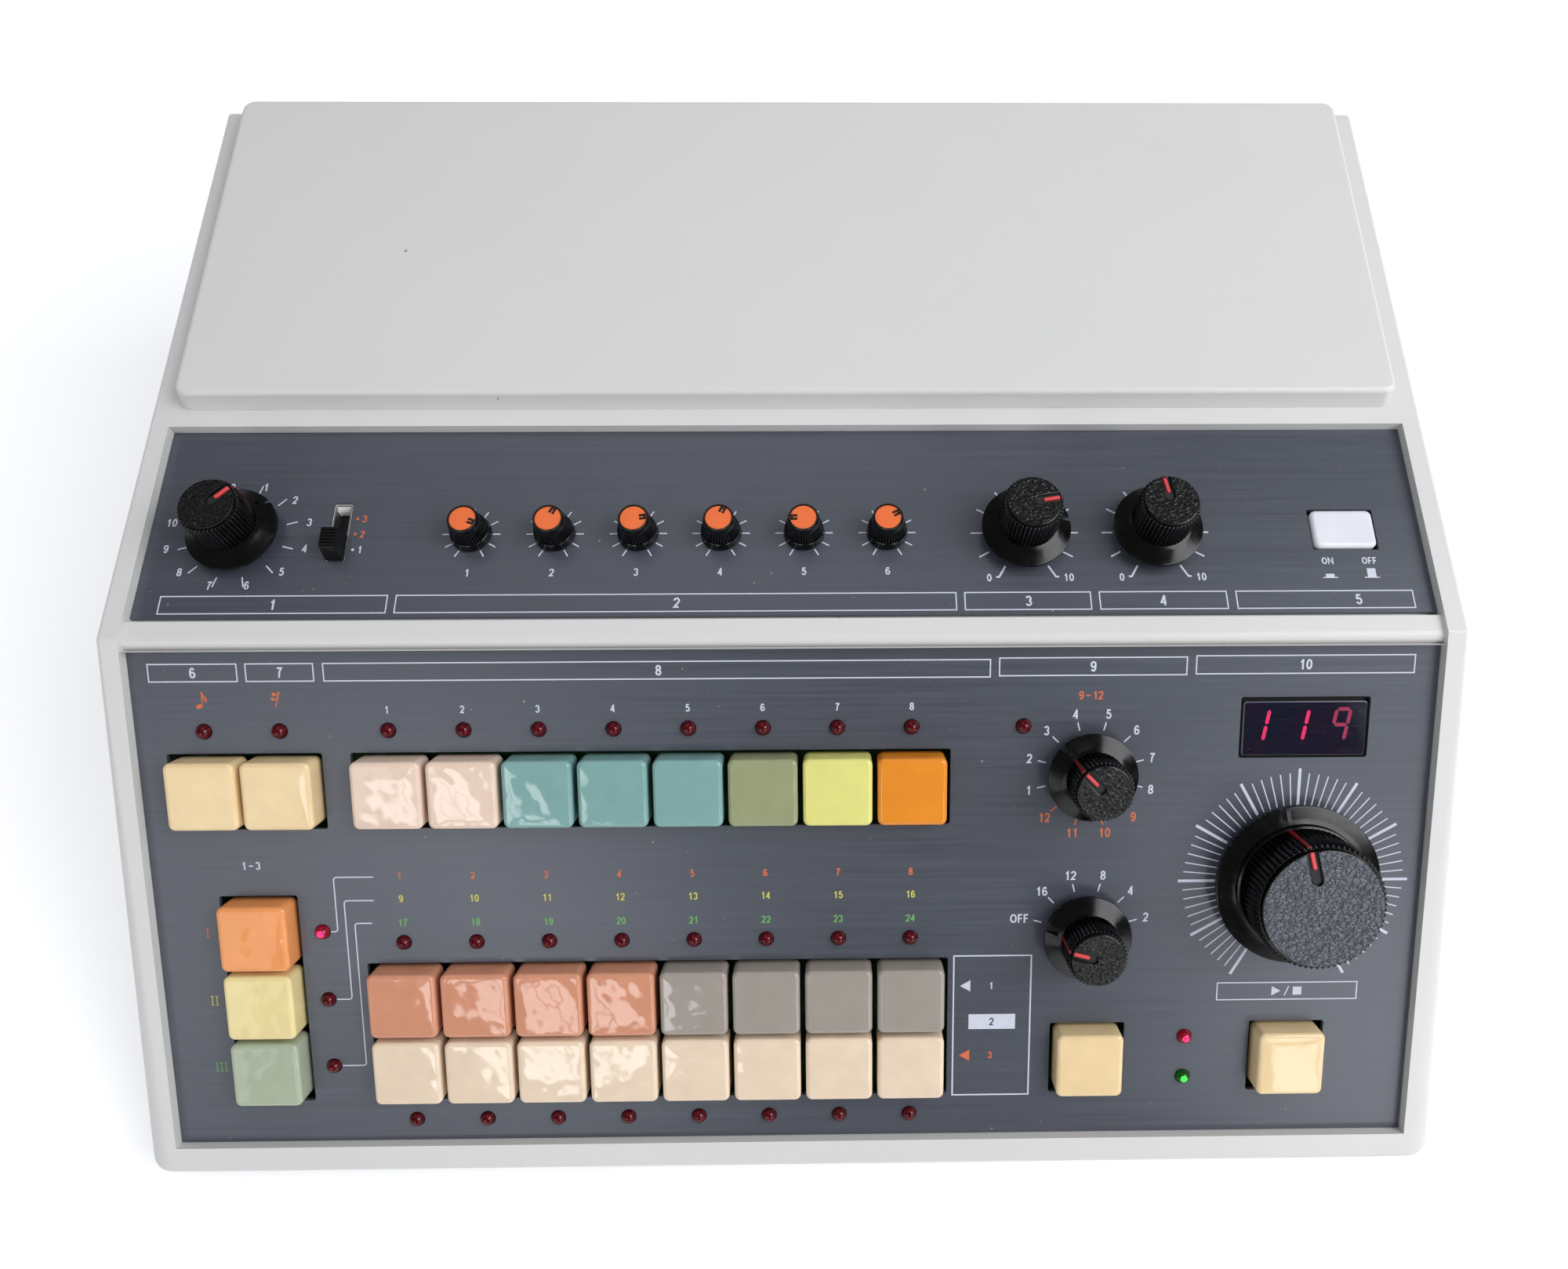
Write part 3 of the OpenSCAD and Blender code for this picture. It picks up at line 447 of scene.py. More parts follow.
def glow_look(name, colour, strength):
    """A lit display segment, its glow slightly uneven."""
    look = Finish(name)
    look.put("Roughness", 0.4)
    look.paint(look.noise(1, 2), shade(colour, 0.3), shade(colour, 0.2))
    look.put("Emission Color", colour)
    look.put("Emission Strength", look.patches(1.2, 2, to_low=strength * 0.85, to_high=strength))
    return look.material


KEY_COLOURS = {
    "key_tan": (238, 210, 162), "key_blush": (232, 206, 186), "key_teal": (128, 168, 164),
    "key_olive": (152, 158, 120), "key_lime": (226, 222, 132), "key_orange": (232, 142, 44),
    "key_straw": (236, 218, 157), "key_sage": (172, 183, 158), "key_clay": (210, 146, 116),
    "key_stone": (160, 151, 142), "key_cream": (234, 212, 186)}
LOOKS = {
    "case_ivory": case_look(),
    "panel_charcoal": panel_look(),
    "display_red": pane_look(),
    "display_dark": black_look("display_black", 12, 0.25),
    "lamp_red": lamp_look("lamp_off", srgb(94, 0, 18)),
    "knob_black": black_look("knob_gloss", 4, 0.13, gloss=0.38),
    "switch_black": black_look("switch_plastic", 10, 0.3, dusty=0.7),
    "control_steel": metal_look("plated_steel", srgb(188, 188, 186)),
    "screw_steel": metal_look("zinc_steel", srgb(170, 170, 168)),
    "board_green": gloss_look("solder_resist", srgb(46, 92, 52), 0.35, 0.01),
    "core_grey": metal_look("laminations", srgb(120, 120, 124), 0.45),
    "foot_rubber": black_look("rubber", 26, 0.75, dusty=0.8),
    "button_white": gloss_look("white_plastic", srgb(226, 227, 234), 0.16, 0.02)}
for slot, rgb in KEY_COLOURS.items():
    LOOKS[slot] = key_look(slot + "_plastic", srgb(*rgb), 0.08 if slot == "key_tan" else 0.22)
BANK_ORANGE = key_look("bank_orange_plastic", srgb(240, 156, 94))
GRAIN_AND_CREASE_SHADE = grain_look("knob_grain_and_crease_shade", 1.15, srgb(8, 9, 11), 0.42)
# the large knob's lumps are painted blue-grey over its black, a painted reflection of a window
LARGE_GRAIN_PAINTED_REFLECTION = grain_look("tempo_grain_painted_reflection", 1.3, srgb(74, 79, 90), 0.7)
SLOT_GREY = black_look("slot_grey", 44, 0.4)
POINTER = gloss_look("pointer_red", srgb(222, 70, 74), 0.3, 0.004)
# the grip's stripe is the pointer's red paint, painted dark red as painted shade
SHADED_STRIPE = gloss_look("stripe_red_painted_shade", srgb(120, 14, 16), 0.35, 0.004)
INSERT = gloss_look("insert_orange", srgb(238, 112, 52), 0.35, 0.01)
# a lamp's rim and its core, dark and lit
DARK_LAMP = [LOOKS["lamp_red"]] * 2
RED_LAMP = [lamp_look("lamp_lit_red", srgb(130, 0, 34), 0.16, srgb(200, 0, 50)),
            lamp_look("lamp_core_red", srgb(240, 40, 100), 1.15, srgb(255, 50, 112))]
GREEN_LAMP = [lamp_look("lamp_lit_green", srgb(4, 70, 14), 0.12, srgb(0, 130, 20)),
              lamp_look("lamp_core_green", srgb(60, 220, 70), 1.1, srgb(60, 235, 70))]
SEGMENT = glow_look("segment_red", srgb(222, 14, 92), 0.92)
DIM_SEGMENT = glow_look("segment_dim", srgb(172, 20, 78), 0.6)
BEZEL = gloss_look("bezel_grey", srgb(236, 236, 234), 0.35, 0.01)
# the pane's sides and chamfer, painted a lighter grey as a painted highlight where the bevel catches light
PANE_EDGE_HIGHLIGHT = gloss_look("pane_edge_painted_highlight", srgb(88, 90, 100), 0.2, 0.01)
INKS = [paint_look("ink_white", srgb(206, 209, 222)), paint_look("ink_orange", srgb(212, 108, 66)),
        paint_look("ink_yellow", srgb(204, 194, 84)), paint_look("ink_green", srgb(106, 172, 92)),
        paint_look("ink_dark", srgb(62, 66, 74))]
WHITE, ORANGE, YELLOW, GREEN, DARK = range(5)

for node, obj in frame["nodes"].items():
    obj.data.materials.clear()
    obj.data.materials.append(LOOKS[SLOTS[node]])


# ---------------- printing on the panels

# Plain numbers and the letters of a switch as strokes, in a height of 1, each with its width
SIGNS = {
    "0": (0.56, [arc(0.28, 0.5, 0.205, 0.425, 0, 360)]),
    "1": (0.56, [[(0.12, 0.735), (0.25, 0.765), (0.33, 0.87)], [(0.335, 0), (0.335, 1)]]),
    "2": (0.56, [arc(0.28, 0.69, 0.205, 0.235, 175, -35) + [(0.085, 0.075), (0.49, 0.075)]]),
    "3": (0.56, [arc(0.27, 0.715, 0.19, 0.21, 165, -80), arc(0.27, 0.29, 0.205, 0.215, 80, -165)]),
    "4": (0.56, [[(0.37, 0.93), (0.075, 0.3), (0.52, 0.3)], [(0.385, 0), (0.385, 1)]]),
    "5": (0.56, [[(0.465, 0.925), (0.16, 0.925), (0.115, 0.5)], arc(0.265, 0.34, 0.215, 0.265, 140, -160)]),
    "6": (0.56, [arc(0.28, 0.5, 0.205, 0.425, 40, 190), arc(0.28, 0.315, 0.205, 0.24, 0, 360)]),
    "7": (0.56, [[(0.075, 0.925), (0.485, 0.925), (0.29, 0.55), (0.215, 0)]]),
    "8": (0.56, [arc(0.28, 0.725, 0.175, 0.2, 0, 360), arc(0.28, 0.29, 0.205, 0.215, 0, 360)]),
    "9": (0.56, [arc(0.28, 0.5, 0.205, 0.425, 220, 370), arc(0.28, 0.685, 0.205, 0.24, 0, 360)]),
    "O": (0.72, [arc(0.36, 0.5, 0.285, 0.425, 0, 360)]),
    "N": (0.76, [[(0.1, 0), (0.1, 0.94), (0.66, 0.06), (0.66, 1)]]),
    "F": (0.54, [[(0.1, 0), (0.1, 0.925), (0.5, 0.925)], [(0.1, 0.5), (0.45, 0.5)]]),
    "I": (0.36, [[(0.18, 0), (0.18, 1)], [(0.05, 0.04), (0.31, 0.04)], [(0.05, 0.96), (0.31, 0.96)]]),
    "-": (0.5, [[(0.0, 0.48), (0.5, 0.48)]]),
    " ": (0.1, [])}


class Print:
    """What is printed on one panel: a flat shape for each ink."""

    def __init__(self):
        self.inks = [Shape() for _ in INKS]

    def fill(self, points, ink=WHITE, lift=0.0):
        self.inks[ink].flat(points, PRINT + lift)

    def block(self, x0, x1, y0, y1):
        self.fill([(x0, y0), (x1, y0), (x1, y1), (x0, y1)])

    def line(self, points, width=0.36, ink=WHITE, lift=0.0):
        """A ribbon along the points, with mitred corners. It is closed where it ends at its start."""
        spots = [Vector(p) for p in points]
        closed = (spots[0] - spots[-1]).length < 0.001
        if closed:
            spots.pop()
        n = len(spots)
        left, right = [], []
        for i, p in enumerate(spots):
            before = p - spots[i - 1] if i or closed else spots[1] - p
            after = spots[(i + 1) % n] - p if i < n - 1 or closed else before
            a, b = before.normalized(), after.normalized()
            side = Vector((-(a + b).y, (a + b).x)).normalized()
            reach = width / 2 / max(side.dot(Vector((-a.y, a.x))), 0.4)
            left.append(p + side * reach)
            right.append(p - side * reach)
        faces = [(i + n, (i + 1) % n + n, (i + 1) % n, i) for i in range(n if closed else n - 1)]
        self.inks[ink].add(at(left + right, PRINT + lift), faces)

    def box(self, x0, x1, y0, y1, width=0.36):
        self.line([(x0, y0), (x1, y0), (x1, y1), (x0, y1), (x0, y0)], width)

    def tick(self, x, y, angle, inner, outer, width=0.4, ink=WHITE):
        self.line([clock(angle, r, r, x, y) for r in (inner, outer)], width, ink)

    def text(self, words, x, y, height=2.4, ink=WHITE, align=0.5, weight=0.17, lift=0.0):
        """Plain numbers or signs: the given share of their width stands at x, and their middle at y."""
        gap = 0.1
        total = sum(SIGNS[sign][0] + gap for sign in words) - gap
        pen = x - align * height * total
        for sign in words:
            wide, strokes = SIGNS[sign]
            for k, stroke in enumerate(strokes):
                points = [(pen + height * px, y + height * (py - 0.5)) for px, py in stroke]
                self.line(points, weight * height, ink, lift + 0.004 * k)
            pen += height * (wide + gap)

    def finish(self, name, place):
        for ink, shape in enumerate(self.inks):
            if shape.faces:
                made = piece(f"{name}_{INKS[ink].name}", shape, place, [INKS[ink]])
                made.visible_shadow = False


def dial(plate, x, y, labels, inner, outer, reach, height):
    """Ticks and numbers around a knob. Labels are (angle, words, ink) and stand on an ellipse of reach."""
    for angle, words, ink in labels:
        plate.tick(x, y, angle, inner, outer, 0.4, ink)
        plate.text(words, *clock(angle, *reach, x, y), height, ink)


def knob_centre(name, place):
    return (place.inverted() @ Vector(JOINTS[name + "_turn"]["pos_m"]))[:2]


def print_deck():
    plate = Print()
    x, y = knob_centre("knob_program_mode", DECK)
    dial(plate, x, y, [(15 + 30 * k, str(k + 1), WHITE) for k in range(12)], 13.8, 17.0, (20.5, 16.5), 2.5)
    for k in range(6):
        x, y = knob_centre(f"knob_level_{k + 1}", DECK)
        for angle in range(-150, 151, 30):
            plate.tick(x, y, angle, 6.1, 8.35)
        plate.text(str(k + 1), x, y - 12.4, 2.4)
    for name in ("knob_accent", "knob_volume"):
        x, y = knob_centre(name, DECK)
        for angle in range(-120, 121, 30):
            plate.tick(x, y, angle, 12.4, 15.7, 0.5)
        for side, words in ((-1, "0"), (1, "10")):
            tip = [clock(side * 150, r, r, x, y) for r in (12.4, 16.4)]
            plate.line(tip + [(tip[1][0] + side * 0.9, tip[1][1])], 0.55)
            plate.text(words, x + side * 10.4, y - 14.4, 2.4, align=0.5 - side * 0.5)
    x = middle_of("slide_switch_lever", DECK)[0] - 0.6
    for k, (dot_y, ink) in enumerate([(31.6, ORANGE), (26.6, ORANGE), (21.6, WHITE)]):
        plate.fill(circle(0.45, 12, x + 5.2, dot_y), ink)
        plate.text(str(3 - k), x + 6.6, dot_y, 2.3, ink, align=0)
    x = middle_of("power_button", DECK)[0]
    for side, words, high in ((-1, "ON", 12.4), (1, "OFF", 14.1)):
        u = x + side * 6.1
        plate.text(words, u, 16.6, 2.15)
        plate.block(u - 2.2, u + 2.2, 11.05, 11.35)
        plate.block(u - 1.25, u + 1.25, 11.35, high)
    boxes = [(-177.6, -113.9, -145.8), (-111.4, 47.5, -32), (50, 86, 68.2), (88.6, 125.1, 106.8),
             (127.9, 178.9, 163)]
    for number, (left, right, middle) in enumerate(boxes, 1):
        plate.box(left, right, 1.6, 7.0)
        plate.text(str(number), middle, 4.3, 3.2)
    plate.finish("deck_print", DECK)


def note_sign(plate, x, y):
    """An eighth note."""
    head = [(x - 0.9 + 0.95 * u - 0.2 * v, y - 1.9 + 0.35 * u + 0.6 * v) for u, v in circle(1, 12)]
    plate.fill(head, ORANGE)
    plate.line([(x, y - 1.8), (x, y + 2.3)], 0.26, ORANGE)
    upper = [(x, y + 2.2), (x + 0.35, y + 1.2), (x + 1.1, y + 0.5), (x + 1.25, y - 0.5)]
    lower = [(x, y + 1.2), (x + 0.35, y + 0.4), (x + 0.95, y - 0.2), (x + 1.05, y - 0.9)]
    plate.line(upper, 0.4, ORANGE, 0.004)
    plate.line(lower, 0.3, ORANGE, 0.008)


def rest_sign(plate, x, y):
    """A rest with two hooks."""
    plate.line([(x + 1.2, y + 2.2), (x - 0.2, y - 2.2)], 0.3, ORANGE)
    for dx, dy in ((-0.5, 1.5), (-0.9, 0.1)):
        plate.fill(circle(0.5, 12, x + dx, y + dy), ORANGE, 0.008)
        plate.line([(x + dx, y + dy - 0.25), (x + dx + 0.8, y + dy - 0.2), (x + dx + 1.5, y + dy + 0.6)],
                   0.28, ORANGE, 0.004)


# the three banks: ink, height of the row of numbers and of its line, where the line turns beside the key
# and where it ends
BANKS = [(ORANGE, -66.7, -67.0, 22.1, -121.3), (YELLOW, -73.7, -74.2, 24.6, -121.7),
         (GREEN, -81.1, -81.2, 27.2, -122.7)]


def print_banks(plate, columns):
    """Three rows of numbers over the lower keys, each with a line from its bank key's lamp."""
    for bank, (ink, row_y, line_y, turn, line_end) in enumerate(BANKS):
        for k, x in enumerate(columns):
            plate.text(str(8 * bank + k + 1), x, row_y, 2.2, ink)
        key = middle_of(f"key_bank_{bank + 1}", DESK)
        plate.text("I" * (bank + 1), key[0] - 15.65, key[1], 2.9, ink, weight=0.1)
        low = arc(key[0] + turn - 0.9, key[1] + 0.9, 0.9, 0.9, -90, 0, 4)
        high = arc(key[0] + turn + 0.9, line_y - 0.9, 0.9, 0.9, 180, 90, 4)
        plate.line([(key[0] + 20.1, key[1])] + low + high + [(line_end, line_y)])
    plate.text("1 - 3", middle_of("key_bank_1", DESK)[0] - 1.2, -63.3, 2.4)


def print_row_signs(plate):
    """The box beside the two lower rows of keys, with an arrow for each row and a plate between them."""
    plate.box(47.6, 70.6, -138.0, -93.2, 0.45)
    x = 59.1
    upper = middle_of("key_preset_1", DESK)[1]
    lower = middle_of("key_program_1", DESK)[1]
    for y, words, ink in ((upper + 2.2, "1", WHITE), (lower + 1.05, "3", ORANGE)):
        plate.fill([(x - 9.6, y), (x - 6.5, y - 1.8), (x - 6.5, y + 1.8)], ink)
        plate.text(words, x - 0.3, y, 2.2, ink)
    y = (upper + lower) / 2 + 1.3
    plate.block(x - 6.9, x + 7.1, y - 2.4, y + 2.4)
    plate.text("2", x, y, 2.4, DARK, lift=0.03)


def print_selectors(plate):
    """The dials of the two fill selectors and of the tempo knob."""
    x, y = knob_centre("knob_intro_fill", DESK)
    bars = [(30 * k - 105, str(k + 1), WHITE if k < 8 else ORANGE) for k in range(12)]
    dial(plate, x, y, bars, 13.3, 15.8, (18.3, 18.3), 2.75)
    plate.text("9 - 12", x - 0.5, y + 23.2, 2.4, ORANGE)
    x, y = knob_centre("knob_auto_fill", DESK)
    measures = [(30 * k - 75, words, WHITE) for k, words in enumerate(["", "16", "12", "8", "4", "2"])]
    dial(plate, x, y, measures, 13.3, 15.8, (18.5, 18.5), 2.75)
    plate.text("OFF", x - 16.8, y + 4.7, 2.7, align=1)
    x, y = knob_centre("knob_tempo", DESK)
    for k in range(61):
        long = k % 6 == 0
        plate.tick(x, y, 5 * k - 150, 23.0, 33.9 if long else 32.5, 0.85 if long else 0.36)


def print_start_box(plate):
    """The box over the start key, with a start and a stop sign."""
    plate.box(126.5, 168.5, -108.0, -102.6)
    x, y = 147.5, -105.3
    plate.fill([(x - 4.6, y - 1.5), (x - 1.9, y), (x - 4.6, y + 1.5)])
    plate.line([(x - 0.7, y - 1.5), (x + 0.5, y + 1.5)], 0.35)
    plate.block(x + 1.8, x + 4.4, y - 1.3, y + 1.3)


def print_desk():
    plate = Print()
    columns = [middle_of(f"key_arranger_{k}", DESK)[0] for k in range(1, 9)]
    boxes = [(-179.4, -154.8, -9.0, -4.0), (-152.3, -133.5, -9.0, -4.0), (-130.7, 56.8, -9.0, -4.0),
             (59.4, 112.7, -8.7, -3.6), (115.4, 177.8, -8.5, -3.3)]
    for number, (left, right, low, high) in enumerate(boxes, 6):
        plate.box(left, right, low, high)
        plate.text(str(number), (left + right) / 2, (low + high) / 2, 3.0)
    note_sign(plate, middle_of("key_register", DESK)[0] + 0.3, -14.2)
    rest_sign(plate, middle_of("key_crash", DESK)[0] - 0.3, -14.2)
    for k, x in enumerate(columns):
        plate.text(str(k + 1), x, -17.4, 2.2)
    print_banks(plate, columns)
    print_row_signs(plate)
    print_selectors(plate)
    print_start_box(plate)
    plate.finish("desk_print", DESK)


# ---------------- keys, lamps, display


def make_keys():
    for node in [n for n in frame["nodes"] if n.startswith("key_") and n != "key_switches"]:
        points = points_of(node, DESK)
        top = points[:, 2].max()
        x, y, _ = box_of(points)[0]
        width, height, _ = box_of(points[points[:, 2] > 0])[1]
        shape = Shape()
        crown = 0.1
        cap(shape, width, height, 1.9, 1.15, -2.8, top - crown, crown=crown, x=x, y=y, kink=18)
        look = BANK_ORANGE if node == "key_bank_1" else LOOKS[SLOTS[node]]
        moving_piece(node + "_cap", shape, DESK, [look], node)


def lamp_places():
    """The middle of each lamp, from the loose parts of the lamps' node."""
    inverse = DESK.inverted()
    tops = [inverse @ v.co for v in frame["nodes"]["indicator_lamps"].data.vertices]
    highest = max(p.z for p in tops)
    found = []
    for p in tops:
        if p.z > highest - 0.02 and all((Vector(q) - p.xy).length > 1 for q in found):
            found.append(tuple(p.xy))
    return sorted(found)


def make_lamps():
    places = lamp_places()
    bank_1 = Vector(middle_of("key_bank_1", DESK)[:2])
    start = Vector(middle_of("key_start_stop", DESK)[:2])
    running = sorted(places, key=lambda p: (Vector(p) - start).length)[:2]
    running.sort(key=lambda p: p[1])
    lit_bank = min(places, key=lambda p: (Vector(p) - bank_1).length)
    lit = {lit_bank: RED_LAMP, running[1]: RED_LAMP, running[0]: GREEN_LAMP}
    dome = arc(0, 0.1, 2.1, 2.1, 0, 80, 8)
    core = 6             # the point of the dome from which the core shows
    for number, place in enumerate(places):
        shape = Shape()
        turned(shape, [(2.1, -4)] + dome[:core + 1], 0, 32, *place)
        turned(shape, dome[core:] + [(0.05, 2.2)], 1, 32, *place, end=True)
        # the thin lip where the lamp comes through the panel, in black that is painted shade at the hole's edge
        turned(shape, [(2.2, -1.4), (2.2, 0.0), (2.17, 0.02), (2.12, -0.1), (2.12, -1.4)], 2, 32, *place)
        looks = [*lit.get(place, DARK_LAMP), LOOKS["display_dark"]]
        piece(f"lamp_{number}", shape, DESK, looks,
              replaces=["indicator_lamps"] if number == 0 else ())


def bar(shape, start, end, z, ink):
    """One bar of a display digit, pointed at both ends."""
    width, gap = 1.05, 0.14
    a, b = Vector(start), Vector(end)
    along = (b - a).normalized()
    side = Vector((-along.y, along.x)) * width / 2
    a, b = a + along * gap, b - along * gap
    ends = along * width / 2
    shape.flat([a, a + ends - side, b - ends - side, b, b - ends + side, a + ends + side], z, ink)


def digits(shape, x, y, z):
    """The right-hand bars of the first two places and a 9 in the third, leaning to the right."""
    tall, broad, lean = 9.2, 4.0, math.tan(math.radians(10))
    levels = {"t": tall / 2, "m": 0, "b": -tall / 2}
    ends = {"a": ("lt", "rt"), "b": ("rm", "rt"), "c": ("rb", "rm"), "f": ("lm", "lt"), "g": ("lm", "rm")}
    for right, bars, ink in ((-10.9, "bc", 2), (0.5, "bc", 2), (12.5, "abcfg", 3)):
        for name in bars:
            corners = []
            for side, level in ends[name]:
                left = broad if side == "l" else 0
                corners.append((x + right - left + levels[level] * lean, y + levels[level]))
            bar(shape, *corners, z, ink)


def make_display():
    (x, y, _), (width, height, _) = box_of(points_of("display_window", DESK))
    shape = Shape()
    # black lining of the opening, with its floor
    floor, glass = -1.45, -0.42
    steps = [(0, -1.4), (0, -0.1), (0.08, 0.0), (0.15, 0.0), (0.22, -0.1), (0.22, floor)]
    lining = stepped(width, height, 0.9, steps, x, y)
    shape.loft(lining)
    shape.flat(lining[-1], floor)
    # the pane, with a chamfer, stands off centre in it, so that the black floor shows at its left and top as
    # painted shade under the opening's edges
    steps = [(0, -1.4), (0, -0.62), (0.3, glass)]
    pane = stepped(width - 1.05, height - 1.55, 0.8, steps, x + 0.22, y - 0.47)
    # its sides and chamfer take the lighter grey of the painted highlight
    shape.loft(pane, 4)
    shape.flat(pane[-1], glass, 1)
    digits(shape, x, y + 0.6, glass + PRINT)
    piece("display", shape, DESK, [LOOKS["display_dark"], LOOKS["display_red"], SEGMENT, DIM_SEGMENT, PANE_EDGE_HIGHLIGHT],
          crease=25, replaces=["display_window", "display_digits"])


# ---------------- knobs and switches

# clockwise stop of each pointer, in degrees from the top, where it isn't a pot's usual 150
STOPS = {"knob_program_mode": 165, "knob_intro_fill": 225, "knob_auto_fill": 75}


def knob_place(name, place):
    """Matrix of a knob whose pointer shows along +y."""
    joint = JOINTS[name + "_turn"]
    x, y = knob_centre(name, place)
    angle = joint["range_deg"][0] + STOPS.get(name, 150)
    return place @ Matrix.Translation((x, y, 0)) @ Matrix.Rotation(math.radians(-angle), 4, "Z")


def notched(profile, radius, half_width, depth):
    """Rings of a turned profile with a notch in its edge at +y."""
    steps = 96
    half = math.degrees(math.asin(half_width / radius))
    turns = [(90 + half + (360 - 2 * half) * i / steps, False) for i in range(steps + 1)]
    turns += [(90 - half, True), (90 + half, True)]
    rings = []
    for r, z in profile:
        ring = []
        for angle, cut in turns:
            reach = min(r, radius - depth) if cut else r
            a = math.radians(angle)
            ring.append((reach * math.cos(a), reach * math.sin(a), z))
        rings.append(ring)
    return rings


def fluted(radius, ribs, depth, z, share=1.0):
    """A ring of pointed ribs. share fades them into a circle at the valleys' radius."""
    ring = []
    for i in range(ribs * RIB_STEPS):
        a = 2 * math.pi * i / (ribs * RIB_STEPS)
        across = abs((i % RIB_STEPS) / RIB_STEPS * 2 - 1)
        r = radius - depth + depth * (1 - across ** 1.3) * share
        ring.append((r * math.cos(a), r * math.sin(a), z))
    return ring


def slotted(radius, half_width, inner, inset):
    """Outline of a disc with a slot that is open at +y and round at its inner end, drawn in by inset."""
    r, w = radius - inset, half_width + inset
    edge = math.degrees(math.asin(w / r))
    return arc(0, 0, r, r, 90 + edge, 450 - edge, 72) + arc(0, inner, w, w, 0, -180, 9)


def knob_skirt(shape, skirt, under, grip, large):
    """The skirt with the notch in its edge, and the sleeve on the shaft."""
    slope = [(skirt - 3.4, under + 1.4), (grip + 0.7, under + 2.0)] if large else [(grip + 1.0, under + 3.0)]
    profile = [(SHAFT, under), (skirt - 1.2, under), (skirt, under), (skirt, under + 0.65),
               (skirt - 0.1, under + 0.88), (skirt - 0.4, under + 1.0), *slope,
               (grip + 0.4, under + 3.3), (grip - 0.2, under + 3.6)]
    shape.loft(notched(profile, skirt, 0.8, 2.6))
    turned(shape, [(SHAFT, -2), (SHAFT, under + 0.1)], steps=32)


def knob_grip(shape, grip, low, rim, inner, large):
    """The fluted grip, with a groove around the disc inside its rim."""
    ribs, flute = (70, 0.8) if large else (44, 0.65)
    steps = [(0, 0, low, 1), (0, 0, rim - 0.3, 1), (0.12, 0, rim - 0.08, 1), (0.32, -0.1, rim, 1),
             (0, 0.25, rim, 0), (0, 0.3, rim - 0.9, 0)]
    rings = [fluted(grip - i, ribs, flute + deeper, z, share) for i, deeper, z, share in steps]
    shape.loft(rings + [at(circle(inner, ribs * RIB_STEPS), rim - 0.9)])


def knob_top(shape, disc, top, large):
    """The grained disc, the floor of its slot and the pointer in the slot."""
    inner, half_slot = (8.6, 1.45) if large else (1.6, 1.35)
    sides = [(0.75, top - 2.2), (0.05, top - 1.15), (0, top - 1), (0, top - 0.3), (0.06, top - 0.12),
             (0.18, top - 0.03), (0.3, top)]
    rings = [at(slotted(disc, half_slot, inner, i), z) for i, z in sides]
    shape.loft(rings)
    shape.flat(rings[-1], top, 1)
    shape.flat(circle(disc - 0.25, 72), top - 0.75, 4)
    turned(shape, [(disc - 0.9, top - 2), (disc - 0.25, top - 0.95), (disc - 0.25, top - 0.75)], 4, 72)
    near, far = (disc - 5.2, disc - 0.1) if large else (2.7, disc - 0.35)
    cap(shape, 1.15 if large else 1.0, far - near, 0.45, 0.3, top - 0.75, top - 0.02, 2, y=(near + far) / 2)


def skirted_knob(name, place):
    """A knob with a wide glossy skirt, a fluted grip and a grained top with a slot for its pointer."""
    spot = knob_place(name, place)
    points = points_of(name, spot)
    reach = np.hypot(points[:, 0], points[:, 1])
    top = points[:, 2].max()
    skirt = reach.max()
    under = points[reach > skirt - 0.1, 2].min()
    grip = reach[points[:, 2] > top - 4].max()
    large = grip > 12
    disc = grip * (0.93 if large else 0.9)
    low, rim = under + 2.5, top - 1.2
    shape = Shape()
    knob_skirt(shape, skirt, under, grip, large)
    knob_grip(shape, grip, low, rim, disc - 0.9, large)
    knob_top(shape, disc, top, large)
    # a red stripe down the grip, in the darker red of painted shade
    stripe = rounded(1.25 if large else 1.05, 1.0, 0.3, 3, y=grip - 0.42)
    shape.loft([at(stripe, low + 0.8), at(stripe, rim - 0.05)], 3, end=True)
    looks = [LOOKS["knob_black"], LARGE_GRAIN_PAINTED_REFLECTION if large else GRAIN_AND_CREASE_SHADE, POINTER, SHADED_STRIPE, SLOT_GREY]
    moving_piece(name + "_dial", shape, spot, looks, name, crease=32)


def level_knob(name):
    """A small knob: fluted cone with an orange disc set in its rim, and a black tab as its pointer."""
    spot = knob_place(name, DECK)
    points = points_of(name, spot)
    top = points[:, 2].max()
    skirt = np.hypot(points[:, 0], points[:, 1]).max()
    rim = skirt - 1.45
    ribs = 38
    shape = Shape()
    turned(shape, [(SHAFT, 0.4), (skirt - 0.3, 0.4), (skirt, 0.5), (skirt, 1.2), (skirt - 0.12, 1.5),
                   (skirt - 0.25, 2.9), (skirt - 0.5, 3.15)], steps=64)
    shape.loft([fluted(skirt - 0.35, ribs, 0.4, 2.9), fluted(rim + 0.25, ribs, 0.4, top - 2.6),
                fluted(rim + 0.1, ribs, 0.1, top - 2.35, 0)])
    turned(shape, [(rim + 0.1, top - 2.4), (rim + 0.12, top - 2.0), (rim - 0.05, top - 0.55),
                   (rim - 0.2, top - 0.15), (rim - 0.38, top), (rim - 0.58, top - 0.02),
                   (rim - 0.68, top - 0.2), (rim - 0.68, top - 0.6)], steps=48)
    insert = [(rim - 0.66, top - 0.4), (rim - 0.8, top - 0.28), (rim - 2.2, top - 0.22), (0.1, top - 0.2)]
    turned(shape, insert, 1, 48, end=True)
    tab = rim - 0.9
    for x in (-0.52, 0.52):
        cap(shape, 0.66, 1.9, 0.12, 0.1, top - 0.5, top - 0.03, 0, x=x, y=tab - 0.9)
    cap(shape, 0.5, 1.9, 0.1, 0.05, top - 0.5, top - 0.25, 2, y=tab - 0.9)
    looks = [LOOKS["knob_black"], INSERT, LOOKS["display_dark"]]
    moving_piece(name + "_cap", shape, spot, looks, name, crease=32)


